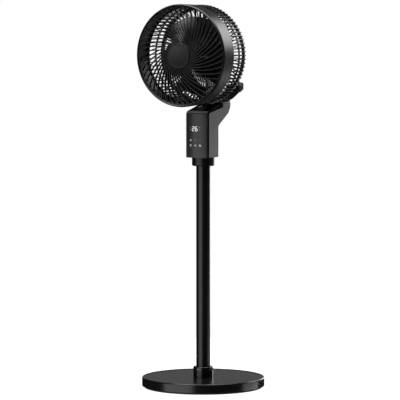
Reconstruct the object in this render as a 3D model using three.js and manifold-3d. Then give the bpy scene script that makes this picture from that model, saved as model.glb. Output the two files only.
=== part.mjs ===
// Pedestal air circulator fan: a weighted round base, one pole, a control box, and a round
// head that swivels on the box's neck and tilts in a yoke.
// Millimetres, +Z up. The origin is on the floor under the pole. The fan blows towards -Y.

import * as THREE from 'three';
import { mergeVertices } from 'three/addons/utils/BufferGeometryUtils.js';
import { ConvexGeometry } from 'three/addons/geometries/ConvexGeometry.js';
import Module from 'manifold-3d';

const wasm = await Module();
wasm.setup();

// ---- Driving dimensions ---------------------------------------------------------------

const GAP = 0.3;            // between pieces that touch or seat on each other
const RUN = 0.15;           // radial play of a pin or shaft that turns in its hole
const WALL = 2.2;           // moulded shell walls

// Base
const BASE_R = 152.5;
const BASE_H = 26;          // floor to the base's flat top
const BASE_BEVEL = 3;       // bevel round the top edge
const FOOT_H = 4;           // rubber ring under the base
const FOOT_W = 9;
const PLATE_T = 2;          // plastic bottom plate
const WEIGHT_T = 8;         // steel disc
const COLLAR_R = 24.8;      // trim collar at the foot of the pole
const COLLAR_H = 25;

// Pole
const POLE_R = 17.5;
const POLE_WALL = 1.6;
const POLE_BARE = 547;      // from the top of the base to the bottom of the control box
const POLE_IN_BOX = 25;     // length held inside the control box
const LOCK_R = 28;
const LOCK_H = 21;

// Control box
const BOX_SIDE_ROOM = 13.5; // from the pole's surface to the box's side, for the screw posts
const BOX_BACK_ROOM = 6.5;  // from the pole's surface to the box's back
const BOX_FRONT_ROOM = 13.5;
const BOX_H = 116;          // bottom of the box to its front lip
const PANEL_ARC_R = 70;     // plan radius of the bowed touch panel
const PANEL_T = 2;
const LIP_H = 7;            // sloping lip at the top of the panel
const LIP_IN = 3.8;         // how far the lip leans back
const COVER_DEPTH = 8;      // side return of the front cover
const TOP_SLOPE = 0.24;     // rise of the box's top per length towards the neck
const NECK_FRONT = 43.5;
const NECK_BACK = 82;
const NECK_TOP = 136;       // top of the neck above the box's bottom

// Swivel
const SWIVEL_Y = 60;        // swivel axis behind the pole axis
const SPIGOT_R = 8;
const SWIVEL_TEETH = 24;
const PINION_TEETH = 12;
const MODULE = 1;
const GEAR_T = 5;

// Yoke and tilt
const TILT_Y = 27;
const TILT_UP = 174;        // tilt axis above the box's bottom
const EAR_X = 77.5;         // inner face of the yoke's ears
const EAR_T = 10.5;
const EAR_R = 13;
const LUG_T = 10.5;         // head lugs between the ears
const LUG_R = 10;
const PIN_R = 3;
const SECTOR_TEETH = 48;    // teeth that a full sector circle would have
const PINION_ANGLE = -60;   // tilt pinion seen from the tilt axis, degrees from +Y

// Head
const HEAD_R = 126;
const HEAD_UP = 128;        // lowest point of the head above the box's bottom
const RING_Y = -108;        // plane of the front ring
const BAND_BACK = -62;      // rear edge of the solid band
const DRUM_BACK = 10;       // rear face of the rear grille
const FIN_COUNT = 36;
const FIN_T = 2.3;
const MIDDLE_RING_Y = -29;  // ring half way along the fins
const RIB_COUNT = 48;
const RIB_T = 1.8;
const RIB_TURN = 45;        // degrees each rib sweeps from the hub to the ring
const HUB_R = 31;
const DOME = 6.5;             // how far the hub stands in front of the ring

// Impeller and motor
const BLADE_COUNT = 5;
const BLADE_CLEAR = 24;     // blade tip to the inside of the band
const BLADE_T = 1.8;
const BLADE_SPAN = 62;      // degrees that a blade's root covers
const BLADE_SWEEP = 20;     // degrees that its tip trails
const BLADE_RAKE = 12;      // how far its tip leans back
const BLADE_PHASE = 42.5;   // degrees from +X to the first blade's root
const IMPELLER_HUB_R = 34;
const SHAFT_R = 4;
const MOTOR_R = 44;         // motor cover
const MOTOR_L = 36;         // motor cover behind the rear grille

// ---- Levels and places worked out from them -------------------------------------------

const BOX_HALF_W = POLE_R + BOX_SIDE_ROOM;
const BOX_FRONT = -POLE_R - BOX_FRONT_ROOM;     // front corners of the box
const BOX_BACK = POLE_R + BOX_BACK_ROOM;
const boxZ = BASE_H + POLE_BARE;
const lipZ = boxZ + BOX_H;
const neckZ = boxZ + NECK_TOP;
const tiltZ = boxZ + TILT_UP;
const headZ = boxZ + HEAD_UP + HEAD_R;
const poleTop = boxZ + POLE_IN_BOX;
const arcY = BOX_FRONT + Math.sqrt(PANEL_ARC_R ** 2 - BOX_HALF_W ** 2);
const innerHalf = BOX_HALF_W - WALL;
const bandInner = HEAD_R - 4.5;
const bladeR = bandInner - BLADE_CLEAR;
const drumR = HEAD_R - 5;
const pi = Math.PI;
const BASE_SIDES = 48;      // the base's nested rounds share their facets

// ---- Finishes -------------------------------------------------------------------------

const finish = (color, roughness, metalness = 0) => () =>
  new THREE.MeshStandardMaterial({ color, roughness, metalness });
const blackSatin = finish(0x0b0b0c, 0.45);
const blackGloss = finish(0x070708, 0.15);
const greyPanel = finish(0x2c2c2e, 0.4);
const greyShell = finish(0x4a4a4d, 0.5);
const rubber = finish(0x101010, 0.9);
const steel = finish(0x8d9094, 0.35, 1);
const blackSteel = finish(0x0d0d0e, 0.35, 0.6);
const brass = finish(0xb08d4c, 0.35, 1);
const copper = finish(0x9a5b34, 0.4, 1);
const circuitGreen = finish(0x1d4a2c, 0.5);
const nylon = finish(0xd8d6cc, 0.5);
const smoke = finish(0x151518, 0.2);

// ---- Making solids --------------------------------------------------------------------

// A closed mesh as a Manifold solid, with its faces pointing out.
function solid(geometry) {
  const bare = geometry.index ? geometry.toNonIndexed() : geometry.clone();
  bare.deleteAttribute('normal');
  bare.deleteAttribute('uv');
  const merged = mergeVertices(bare, 1e-4);
  const place = merged.attributes.position;
  const corners = merged.index.array;
  const kept = [];
  let volume = 0;
  const a = new THREE.Vector3();
  const b = new THREE.Vector3();
  const c = new THREE.Vector3();
  for (let i = 0; i < corners.length; i += 3) {
    const [p, q, r] = [corners[i], corners[i + 1], corners[i + 2]];
    if (p === q || q === r || r === p) continue;
    kept.push([p, q, r]);
    a.fromBufferAttribute(place, p);
    b.fromBufferAttribute(place, q);
    c.fromBufferAttribute(place, r);
    volume += a.dot(b.cross(c));
  }
  const outward = ([p, q, r]) => (volume < 0 ? [p, r, q] : [p, q, r]);
  const triVerts = Uint32Array.from(kept.flatMap(outward));
  const vertProperties = Float32Array.from(place.array);
  return new wasm.Manifold(new wasm.Mesh({ numProp: 3, vertProperties, triVerts }));
}

const join = (...solids) => solids.reduce((all, next) => all.add(next));
const cut = (body, ...tools) => tools.reduce((rest, tool) => rest.subtract(tool), body);

function box(x0, x1, y0, y1, z0, z1) {
  const geometry = new THREE.BoxGeometry(x1 - x0, y1 - y0, z1 - z0);
  return solid(geometry.translate((x0 + x1) / 2, (y0 + y1) / 2, (z0 + z1) / 2));
}

// Points are [radius, height]. The outline closes on itself, or starts and ends at radius 0.
function lathe(points, segments, axis = 'z', x = 0, y = 0, z = 0) {
  const onAxis = points[0][0] === 0 && points[points.length - 1][0] === 0;
  const outline = onAxis ? points : [...points, points[0]];
  const geometry = new THREE.LatheGeometry(outline.map(([r, h]) => new THREE.Vector2(r, h)), segments);
  if (axis === 'z') geometry.rotateX(pi / 2);
  if (axis === 'x') geometry.rotateZ(-pi / 2);
  return solid(geometry.translate(x, y, z));
}

const rod = (r, h0, h1, segments, axis, x, y, z) =>
  lathe([[0, h0], [r, h0], [r, h1], [0, h1]], segments, axis, x, y, z);
const tube = (r0, r1, h0, h1, segments, axis, x, y, z) =>
  lathe([[r0, h0], [r1, h0], [r1, h1], [r0, h1]], segments, axis, x, y, z);

const outlineShape = (points) => new THREE.Shape(points.map(([u, v]) => new THREE.Vector2(u, v)));

// An outline of [Y, Z] points, extruded along X.
function slabX(points, x0, x1) {
  const geometry = new THREE.ExtrudeGeometry(outlineShape(points), { depth: x1 - x0, bevelEnabled: false });
  const turn = new THREE.Matrix4().makeBasis(
    new THREE.Vector3(0, 1, 0), new THREE.Vector3(0, 0, 1), new THREE.Vector3(1, 0, 0));
  return solid(geometry.applyMatrix4(turn).translate(x0, 0, 0));
}

// An outline of [X, Y] points, extruded along Z.
function slabZ(points, z0, z1) {
  const geometry = new THREE.ExtrudeGeometry(outlineShape(points), { depth: z1 - z0, bevelEnabled: false });
  return solid(geometry.translate(0, 0, z0));
}

const hull = (points) => solid(new ConvexGeometry(points.map(([x, y, z]) => new THREE.Vector3(x, y, z))));

// Moves each side of a counter-clockwise outline inwards by its own distance.
function inset(points, distances) {
  const count = points.length;
  const lines = points.map(([u, v], i) => {
    const [u2, v2] = points[(i + 1) % count];
    const length = Math.hypot(u2 - u, v2 - v);
    const normal = [-(v2 - v) / length, (u2 - u) / length];
    return { normal, offset: normal[0] * u + normal[1] * v + distances[i] };
  });
  return lines.map((line, i) => {
    const before = lines[(i + count - 1) % count];
    const [a, b] = before.normal;
    const [c, d] = line.normal;
    const det = a * d - b * c;
    return [(before.offset * d - b * line.offset) / det, (a * line.offset - c * before.offset) / det];
  });
}

// Gear outline with straight-sided teeth, one tooth centred on each multiple of the pitch
// angle from `phase`. All angles in degrees.
function gearTeeth(teeth, phase, first = 0, count = teeth) {
  const pitchR = MODULE * teeth / 2;
  const step = 360 / teeth;
  const tip = pitchR + 0.9 * MODULE;
  const root = pitchR - 1.2 * MODULE;
  const corners = [[root, -0.33], [tip, -0.13], [tip, 0.13], [root, 0.33]];
  const points = [];
  for (let i = first; i < first + count; i += 1) {
    for (const [r, share] of corners) {
      const angle = THREE.MathUtils.degToRad(phase + (i + share) * step);
      points.push([r * Math.cos(angle), r * Math.sin(angle)]);
    }
  }
  return points;
}

// ---- Scene graph ----------------------------------------------------------------------

const fan = new THREE.Group();
const stand = new THREE.Group();
const yokeGroup = new THREE.Group();
const headGroup = new THREE.Group();
headGroup.position.z = headZ;
fan.add(stand, yokeGroup, headGroup);

function piece(group, name, body, material, position = [0, 0, 0]) {
  const mesh = body.getMesh();
  const geometry = new THREE.BufferGeometry();
  geometry.setAttribute('position', new THREE.BufferAttribute(mesh.vertProperties, 3));
  geometry.setIndex(new THREE.BufferAttribute(mesh.triVerts, 1));
  geometry.computeVertexNormals();
  const node = new THREE.Mesh(geometry, material());
  node.name = name;
  node.position.set(...position);
  group.add(node);
}

// ---- Base -----------------------------------------------------------------------------

const boltR = 4.8;
const boltHeadR = 9;
const boltHeadT = 5;
const plateZ = FOOT_H + GAP;
const weightZ = plateZ + PLATE_T + GAP;
const coverFloor = BASE_H - 2.5;

function footRing() {
  const outer = BASE_R - 6;
  return tube(outer - FOOT_W, outer, 0, FOOT_H, BASE_SIDES);
}

function baseBottom() {
  const edge = BASE_R - 3 - GAP;
  return tube(boltHeadR + 1, edge, plateZ, plateZ + PLATE_T, BASE_SIDES);
}

function baseWeight() {
  const edge = BASE_R - 6.5;
  const step = weightZ + boltHeadT + GAP;
  return lathe([[boltHeadR + GAP, weightZ], [edge, weightZ], [edge, weightZ + WEIGHT_T],
    [boltR + GAP, weightZ + WEIGHT_T], [boltR + GAP, step], [boltHeadR + GAP, step]], BASE_SIDES);
}

function baseCover() {
  const inner = BASE_R - 3;
  return lathe([[boltR + GAP, coverFloor], [inner - 3, coverFloor], [inner, coverFloor - 3], [inner, FOOT_H],
    [BASE_R, FOOT_H], [BASE_R, BASE_H - BASE_BEVEL], [BASE_R - BASE_BEVEL, BASE_H], [boltR + GAP, BASE_H]],
  BASE_SIDES);
}

function baseBolt() {
  const head = weightZ;
  return lathe([[0, head], [boltHeadR, head], [boltHeadR, head + boltHeadT], [boltR, head + boltHeadT],
    [boltR, BASE_H + 30], [0, BASE_H + 30]], 16);
}

function baseCollar() {
  const z = BASE_H + GAP;
  const bore = POLE_R + GAP;
  return lathe([[bore, z], [COLLAR_R, z], [COLLAR_R, z + COLLAR_H - 2], [COLLAR_R - 2, z + COLLAR_H],
    [bore, z + COLLAR_H]], 28);
}

piece(stand, 'foot_ring', footRing(), rubber);
piece(stand, 'base_bottom', baseBottom(), blackSatin);
piece(stand, 'base_weight', baseWeight(), steel);
piece(stand, 'base_cover', baseCover(), blackGloss);
piece(stand, 'base_bolt', baseBolt(), steel);
piece(stand, 'base_collar', baseCollar(), blackGloss);

// ---- Pole -----------------------------------------------------------------------------

const poleZ = BASE_H + GAP;
const poleInner = POLE_R - POLE_WALL;
const socketR = POLE_R + GAP + 3;
const socketZ = boxZ - 17;
const lockZ = boxZ - GAP - LOCK_H;

const pole = tube(poleInner, POLE_R, poleZ, poleTop, 32);
const footPlug = tube(boltR + GAP, poleInner - GAP, poleZ, poleZ + 40, 20);
const topPlug = tube(4, poleInner - GAP, poleTop - 20, poleTop, 20);
const lockCollar = lathe([[POLE_R + GAP, lockZ], [LOCK_R - 3, lockZ], [LOCK_R, lockZ + 3],
  [LOCK_R, lockZ + LOCK_H], [socketR + GAP, lockZ + LOCK_H], [socketR + GAP, socketZ - GAP],
  [POLE_R + GAP, socketZ - GAP]], 28);

function poleSocket() {
  const top = poleTop + GAP;
  return lathe([[POLE_R + GAP, socketZ], [socketR, socketZ], [socketR, top + 3], [6, top + 3], [6, top],
    [POLE_R + GAP, top]], 24);
}

piece(stand, 'pole', pole, blackSteel);
piece(stand, 'pole_foot_plug', footPlug, nylon);
piece(stand, 'pole_top_plug', topPlug, nylon);
piece(stand, 'lock_collar', lockCollar, blackSatin);
piece(stand, 'pole_socket', poleSocket(), blackSatin);

// ---- Control box shells ---------------------------------------------------------------

const rimZ = (y) => lipZ + (y - BOX_FRONT) * TOP_SLOPE;
const coverBack = BOX_FRONT + COVER_DEPTH;
const stripFront = lipZ - 6.2;              // lower edge of the cover's top strip
const stripBack = neckZ - 13.7;
const screwX = innerHalf - 3.4;
const screwLevels = [boxZ + 9, boxZ + 67];

// Side outline of the rear housing: [Y, Z], counter-clockwise.
const housingSide = [
  [coverBack + GAP, boxZ],
  [BOX_BACK, boxZ],
  [BOX_BACK, boxZ + 77],
  [NECK_BACK - 20, boxZ + 100.5],
  [NECK_BACK - 8, boxZ + 110],
  [NECK_BACK - 3, boxZ + 117],
  [NECK_BACK - 0.5, boxZ + 126],
  [NECK_BACK, neckZ],
  [NECK_FRONT, neckZ],
  [NECK_FRONT, stripBack],
  [coverBack + GAP, stripFront],
];

const inletR = 5.5;
const inletZ = poleTop + 11;
const displayHalf = 16;
const displayZ = boxZ + 72;

function rearHousing() {
  const walls = [WALL, WALL, WALL, WALL, WALL, WALL, WALL, 5, WALL, -5, -5];
  const shell = cut(
    slabX(housingSide, -BOX_HALF_W, BOX_HALF_W),
    slabX(inset(housingSide, walls), -innerHalf, innerHalf),
    box(-innerHalf, innerHalf, NECK_FRONT - 9, NECK_FRONT + WALL + 0.5, stripBack - 9, stripBack + 0.5),
    rod(socketR + GAP, boxZ - 1, boxZ + WALL + 1, 32),
    rod(SPIGOT_R + 2 + 2 * GAP, neckZ - 6, neckZ + 1, 32, 'z', 0, SWIVEL_Y),
    rod(inletR + GAP, BOX_BACK - WALL - 1, BOX_BACK + 1, 20, 'y', 0, 0, inletZ));
  const screwHoles = [];
  for (const x of [-screwX, screwX]) {
    for (const z of screwLevels) {
      screwHoles.push(rod(1.9, BOX_BACK - WALL - 1, BOX_BACK + 1, 10, 'y', x, 0, z));
    }
  }
  return cut(shell, ...screwHoles);
}

// Everything inside the panel's bowed face and its leaning lip, less `back` all round.
function bowedCore(back, z0, z1) {
  const r = PANEL_ARC_R - back;
  const lean = LIP_IN / LIP_H;
  const shoulder = lipZ - LIP_H - back * (Math.hypot(1, lean) - 1) / lean;
  const top = r - lean * (z1 - shoulder);
  return lathe([[0, z0], [r, z0], [r, shoulder], [top, z1], [0, z1]], 90, 'z', 0, arcY);
}

function touchPanel() {
  const z0 = boxZ;
  const ring = cut(bowedCore(0, z0, lipZ), bowedCore(PANEL_T, z0 - 1, lipZ + 1));
  const half = BOX_HALF_W - 0.2;
  return ring.intersect(box(-half, half, -100, BOX_FRONT + COVER_DEPTH, z0 - 2, lipZ + 2));
}

// A shallow scoop in the sloping top of the front cover.
function scoop(grow) {
  const centreY = (BOX_FRONT + NECK_FRONT) / 2;
  const geometry = new THREE.SphereGeometry(1, 18, 8);
  geometry.rotateX(pi / 2);
  geometry.scale(BOX_HALF_W - 3 + grow, (NECK_FRONT - BOX_FRONT) / 2 - 3 + grow, 8 + grow);
  geometry.rotateX(Math.atan(TOP_SLOPE));
  return solid(geometry.translate(0, centreY, rimZ(centreY)));
}

function frontCover() {
  const front = BOX_FRONT - 12;
  const back = NECK_FRONT - GAP;
  const side = [
    [front, boxZ], [coverBack, boxZ], [coverBack, stripFront + GAP], [back, stripBack + GAP],
    [back, rimZ(back)], [front, rimZ(front)],
  ];
  const core = bowedCore(PANEL_T + GAP, boxZ - 5, neckZ + 20);
  const outer = slabX(side, -BOX_HALF_W, BOX_HALF_W).intersect(core);
  const inside = slabX([[front, boxZ - 5], [back + 5, boxZ - 5], [back + 5, rimZ(back + 5) - WALL],
    [front, rimZ(front) - WALL]], -innerHalf, innerHalf)
    .intersect(bowedCore(PANEL_T + GAP + WALL, boxZ - 6, neckZ + 20));
  const bowl = scoop(2).intersect(slabX([[front, stripFront - 40], [back, stripFront - 40],
    [back, rimZ(back) - 0.5], [front, rimZ(front) - 0.5]], -innerHalf + 1, innerHalf - 1)).intersect(core);
  const bottom = box(-innerHalf - 0.5, innerHalf + 0.5, BOX_FRONT - 8, coverBack, boxZ, boxZ + WALL)
    .intersect(core);
  const posts = [];
  const holes = [];
  for (const x of [-screwX, screwX]) {
    for (const z of screwLevels) {
      posts.push(rod(2.9, BOX_FRONT + 1, BOX_BACK - WALL - GAP, 12, 'y', x, 0, z));
      holes.push(rod(1.7, BOX_BACK - 22, BOX_BACK, 10, 'y', x, 0, z));
    }
  }
  const shell = cut(join(cut(outer, inside), bowl, bottom, ...posts), scoop(0), ...holes);
  return cut(shell,
    box(-displayHalf - 1, displayHalf + 1, -60, BOX_FRONT + 5, displayZ - 11, displayZ + 11));
}

piece(stand, 'rear_housing', rearHousing(), greyShell);
piece(stand, 'front_cover', frontCover(), blackGloss);
piece(stand, 'touch_panel', touchPanel(), greyPanel);

// ---- Inside the control box -----------------------------------------------------------

const boardHalf = screwX - 3.4;
const boardY = BOX_FRONT + 4;
const panelBackAt = (x) => arcY - Math.sqrt((PANEL_ARC_R - PANEL_T) ** 2 - x ** 2);

const displayModule = box(-displayHalf, displayHalf, panelBackAt(displayHalf) + GAP, boardY - GAP,
  displayZ - 10, displayZ + 10);
const controlBoard = box(-boardHalf, boardHalf, boardY, boardY + 1.6, boxZ + 20, boxZ + 104);
const buzzer = rod(5, boardY + 1.6 + GAP, boardY + 8.5, 16, 'y', -boardHalf + 8, 0, boxZ + 56);
const irReceiver = box(-3, 3, boardY - 4.5, boardY - GAP, boxZ + 90, boxZ + 97);
const powerBoard = box(-boardHalf, boardHalf, BOX_BACK - 8, BOX_BACK - 6.4, inletZ + 9, boxZ + 88);
const capacitor = rod(6, BOX_BACK - 8 - GAP - 16, BOX_BACK - 8 - GAP, 16, 'y', 9, 0, boxZ + 54);
const coil = tube(3, 8, BOX_BACK - 8 - GAP - 7, BOX_BACK - 8 - GAP, 16, 'y', -8, 0, boxZ + 70);

function powerInlet() {
  const back = BOX_BACK + 1.4;
  return lathe([[0, BOX_BACK - 9], [inletR, BOX_BACK - 9], [inletR, BOX_BACK + GAP],
    [inletR + 2, BOX_BACK + GAP], [inletR + 2, back], [2.6, back], [2.6, BOX_BACK - 7], [0, BOX_BACK - 7]],
  20, 'y', 0, 0, inletZ);
}

const housingScrew = () => lathe([[0, 0], [2.8, 0], [2.8, -1.6], [1.4, -1.6], [1.4, -18], [0, -18]], 10, 'y');

piece(stand, 'display_module', displayModule, nylon);
piece(stand, 'control_board', controlBoard, circuitGreen);
piece(stand, 'buzzer', buzzer, blackSatin);
piece(stand, 'ir_receiver', irReceiver, smoke);
piece(stand, 'power_board', powerBoard, circuitGreen);
piece(stand, 'capacitor', capacitor, steel);
piece(stand, 'power_coil', coil, copper);
piece(stand, 'power_inlet', powerInlet(), blackSatin);

let screwNumber = 1;
for (const z of screwLevels) {
  for (const x of [-screwX, screwX]) {
    const head = BOX_BACK + GAP + 1.6;
    piece(stand, `housing_screw_${screwNumber}`, housingScrew(), steel, [x, head, z]);
    screwNumber += 1;
  }
}

// ---- Swivel drive in the neck ---------------------------------------------------------

const spigotBore = SPIGOT_R - 3;
const gearZ = neckZ - 21;
const swivelPinionY = SWIVEL_Y - MODULE * (SWIVEL_TEETH + PINION_TEETH) / 2;
const yokeZ = neckZ + 2;
const spigotTop = yokeZ + 9;

const bushR = SPIGOT_R + 2 + GAP;
const flangeR = bushR + 3;
const skirtZ = neckZ + 0.4;                 // the yoke's lower edge, just clear of the neck

function swivelBush() {
  const inner = SPIGOT_R + RUN;
  return lathe([[inner, neckZ - 5], [bushR, neckZ - 5], [bushR, neckZ + GAP], [flangeR, neckZ + GAP],
    [flangeR, yokeZ - GAP], [inner, yokeZ - GAP]], 24, 'z', 0, SWIVEL_Y);
}

// The motor hangs under its pinion, whose shaft enters it from above.
const swivelMotor = tube(2.3, 11, gearZ - 16.5, gearZ - 3.6, 16, 'z', 0, swivelPinionY);

function pinion(bore) {
  const gear = slabZ(gearTeeth(PINION_TEETH, 15), 0, GEAR_T);
  return join(gear, rod(bore, -10, 1, 12));
}

function swivelGear() {
  return cut(slabZ(gearTeeth(SWIVEL_TEETH, 0), 0, GEAR_T), rod(SPIGOT_R + GAP, -1, GEAR_T + 1, 16));
}

const spigot = tube(spigotBore, SPIGOT_R, gearZ - 3, spigotTop, 24);
const swivelClip = tube(SPIGOT_R + GAP, SPIGOT_R + 2.5, gearZ - 2.2, gearZ - GAP, 16);

piece(stand, 'swivel_bush', swivelBush(), nylon);
piece(stand, 'swivel_motor', swivelMotor, steel);
piece(stand, 'swivel_pinion', pinion(2), brass, [0, swivelPinionY, gearZ]);
piece(yokeGroup, 'swivel_spigot', spigot, steel, [0, SWIVEL_Y, 0]);
piece(yokeGroup, 'swivel_gear', swivelGear(), nylon, [0, SWIVEL_Y, gearZ]);
piece(yokeGroup, 'swivel_clip', swivelClip, steel, [0, SWIVEL_Y, 0]);

// ---- Yoke -----------------------------------------------------------------------------

const blockFront = TILT_Y + 6;
const blockTop = yokeZ + 20;
const pitchSum = MODULE * (SECTOR_TEETH + PINION_TEETH) / 2;
const pinionAngle = THREE.MathUtils.degToRad(PINION_ANGLE);
const pinionY = TILT_Y + pitchSum * Math.cos(pinionAngle);
const pinionZ = tiltZ + pitchSum * Math.sin(pinionAngle);
const pocketHalf = BOX_HALF_W - 4;
const slotHalf = 4.5;
const tiltMotorR = 7;
const lugOut = EAR_X - 1;

// Cross-sections of one arm from the block to the ear: share of the way out, then the
// front, back, bottom and top of the section, all measured from the yoke's own corners.
function armSection(share, front, back, bottom, top) {
  const x = BOX_HALF_W + share * (EAR_X - BOX_HALF_W);
  const level = (z) => yokeZ + z;
  return [[x, front, level(bottom + 3)], [x, back - 5, level(bottom)], [x, back, level(bottom + 4)],
    [x, back, level(top - 4)], [x, back - 4, level(top)], [x, front, level(top)]];
}

function yokeArm(side) {
  const clearLug = TILT_Y + LUG_R + 3;
  const sections = [
    armSection(-0.1, blockFront, NECK_BACK - 0.3, 0, 20),
    armSection(0.14, blockFront + 5, NECK_BACK, 4, 22),
    armSection(0.42, blockFront + 9, NECK_BACK - 5, 12, 26),
    armSection(0.68, clearLug, NECK_BACK - 13, 19, 33),
    armSection(0.88, clearLug, NECK_BACK - 23, 25, 41),
    armSection(1.0, clearLug, NECK_BACK - 29, 27, 46),
  ];
  const links = [];
  for (let i = 0; i + 1 < sections.length; i += 1) links.push(hull([...sections[i], ...sections[i + 1]]));
  const last = sections[sections.length - 1];
  const ear = last.map(([x, y, z]) => [x, y, z]);
  const outerFace = last.map(([x, y, z]) => [x + EAR_T, y - 6, z + 1]);
  for (let i = 0; i < 20; i += 1) {
    const angle = 2 * pi * i / 20;
    for (const x of [EAR_X, EAR_X + EAR_T]) {
      ear.push([x, TILT_Y + EAR_R * Math.cos(angle), tiltZ + EAR_R * Math.sin(angle)]);
    }
  }
  links.push(hull([...ear, ...outerFace]));
  const arm = cut(join(...links), rod(PIN_R + GAP, EAR_X - 2, EAR_X + EAR_T + 2, 16, 'x', 0, TILT_Y, tiltZ));
  return side > 0 ? arm : arm.mirror([1, 0, 0]);
}

function yoke() {
  const half = BOX_HALF_W - 2;
  const block = slabX([[blockFront + 3, skirtZ], [NECK_BACK - 2, skirtZ], [NECK_BACK - 0.5, yokeZ + 1],
    [NECK_BACK - 0.5, blockTop - 4], [NECK_BACK - 4, blockTop], [blockFront, blockTop],
    [blockFront, yokeZ + 3]], -half, half);
  const body = join(block, yokeArm(1), yokeArm(-1));
  const pocketBack = NECK_BACK - 2.6;
  const pocket = join(
    box(slotHalf, pocketHalf, pinionY - tiltMotorR - 1, pocketBack + 5, yokeZ + 3, blockTop - 1.4),
    box(-pocketHalf, -slotHalf, SWIVEL_Y - 4, pocketBack + 5, yokeZ + 3, blockTop - 1.4));
  return cut(body,
    pocket,
    box(-slotHalf, slotHalf, blockFront - 2, pinionY + 7.8, yokeZ + 2.4, blockTop + 30),
    box(-pocketHalf - 1, pocketHalf + 1, pocketBack, NECK_BACK + 5, yokeZ + 2.4, blockTop - 0.8)
      .subtract(box(-99, 99, pocketBack - 1, NECK_BACK + 6, blockTop - 1.6, blockTop + 1)),
    rod(flangeR + GAP, skirtZ - 1, yokeZ, 24, 'z', 0, SWIVEL_Y),
    rod(SPIGOT_R + GAP, yokeZ - 1, spigotTop + GAP, 32, 'z', 0, SWIVEL_Y));
}

const yokeCover = box(-pocketHalf - 1 + GAP, pocketHalf + 1 - GAP, NECK_BACK - 2.6 + GAP, NECK_BACK - 0.5,
  yokeZ + 2.4 + GAP, blockTop - 1.6 - GAP);
const tiltMotor = tube(2.3, tiltMotorR - GAP, slotHalf + GAP, pocketHalf - GAP, 20, 'x', 0, pinionY, pinionZ);
const tiltPinion = join(
  slabZ(gearTeeth(PINION_TEETH, PINION_ANGLE + 180 + 15), -3, 3),
  rod(2, 0, 14, 12));
const pivotPin = rod(PIN_R, EAR_X - LUG_T - 1, EAR_X + EAR_T - GAP, 16, 'x');
const pivotCap = lathe([[0, 0], [9, 0], [9, 1.2], [7.5, 2.4], [0, 2.4]], 20, 'x');

piece(yokeGroup, 'yoke', yoke(), blackSatin);
piece(yokeGroup, 'yoke_cover', yokeCover, blackSatin);
piece(yokeGroup, 'tilt_motor', tiltMotor, steel);
for (const [name, side] of [['right', 1], ['left', -1]]) {
  const flip = (body) => (side > 0 ? body : body.mirror([1, 0, 0]));
  piece(yokeGroup, `pivot_pin_${name}`, flip(pivotPin), steel, [0, TILT_Y, tiltZ]);
  piece(yokeGroup, `pivot_cap_${name}`, flip(pivotCap), blackSatin,
    [side * (EAR_X + EAR_T + GAP), TILT_Y, tiltZ]);
}

const pinionGroup = new THREE.Group();
pinionGroup.position.set(0, pinionY, pinionZ);
const alongX = new THREE.Matrix4().makeBasis(
  new THREE.Vector3(0, 1, 0), new THREE.Vector3(0, 0, 1), new THREE.Vector3(1, 0, 0));
pinionGroup.quaternion.setFromRotationMatrix(alongX);
piece(pinionGroup, 'tilt_pinion', tiltPinion, brass);
yokeGroup.add(pinionGroup);

// ---- Head shell -----------------------------------------------------------------------
// In the head's own group, Z is measured from the head's axis.

const ringR = HEAD_R - 2;
const grilleR = bandInner - GAP;

const shroud = lathe([
  [bandInner, RING_Y + 6], [bandInner, RING_Y - 1], [ringR, RING_Y - 3], [HEAD_R, RING_Y],
  [HEAD_R, RING_Y + 4], [HEAD_R - 1.5, BAND_BACK], [HEAD_R - 4, BAND_BACK], [HEAD_R - 4, RING_Y + 8],
], 64, 'y');

// A straight bar whose middle line is `path(t)` for t from 0 to 1, `thick` across the path
// in the grille's plane and `deep` along the head's axis. path gives [radius, angle, Y].
function bentBar(path, thick, deep, steps) {
  const geometry = new THREE.BoxGeometry(1, 1, 1, steps, 1, 1);
  const place = geometry.attributes.position;
  for (let i = 0; i < place.count; i += 1) {
    const t = place.getX(i) + 0.5;
    const [r, angle, y] = path(t);
    const [r2, angle2] = path(t + 0.01);
    const point = new THREE.Vector2(r * Math.cos(angle), r * Math.sin(angle));
    const ahead = new THREE.Vector2(r2 * Math.cos(angle2), r2 * Math.sin(angle2)).sub(point).normalize();
    const shift = place.getY(i) * thick;
    place.setXYZ(i, point.x - ahead.y * shift, y - place.getZ(i) * deep, point.y + ahead.x * shift);
  }
  return solid(geometry);
}

const domeY = (r) => RING_Y - DOME * (1 - (r / grilleR) ** 2);
const hubPlateY = domeY(HUB_R) - 0.5;

function frontGrille() {
  const ring = tube(grilleR - 3, grilleR, RING_Y - 1.5, RING_Y + 6, RIB_COUNT, 'y');
  const plate = rod(HUB_R + 0.5, hubPlateY, hubPlateY + 5, RIB_COUNT, 'y');
  const ribs = [];
  const innerR = HUB_R - 1;
  const outerR = grilleR - 1.5;
  for (let i = 0; i < RIB_COUNT; i += 1) {
    const start = 2 * pi * (i + 0.5) / RIB_COUNT;
    const path = (t) => {
      const r = innerR + t * (outerR - innerR);
      const sweep = THREE.MathUtils.degToRad(RIB_TURN) * Math.log(r / innerR) / Math.log(outerR / innerR);
      return [r, start + sweep, domeY(r) + 2.5];
    };
    ribs.push(bentBar(path, RIB_T, 5, 3));
  }
  return join(ring, plate, ...ribs);
}

const capY = hubPlateY - GAP;
const hubCap = lathe([[0, capY], [HUB_R, capY], [HUB_R, capY - 2], [HUB_R - 2, capY - 3], [8, capY - 2],
  [0, capY - 2]], 32, 'y');

piece(headGroup, 'shroud', shroud, blackSatin);
piece(headGroup, 'front_grille', frontGrille(), blackSatin);
piece(headGroup, 'hub_cap', hubCap, blackSatin);

// ---- Rear grille ----------------------------------------------------------------------

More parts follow.
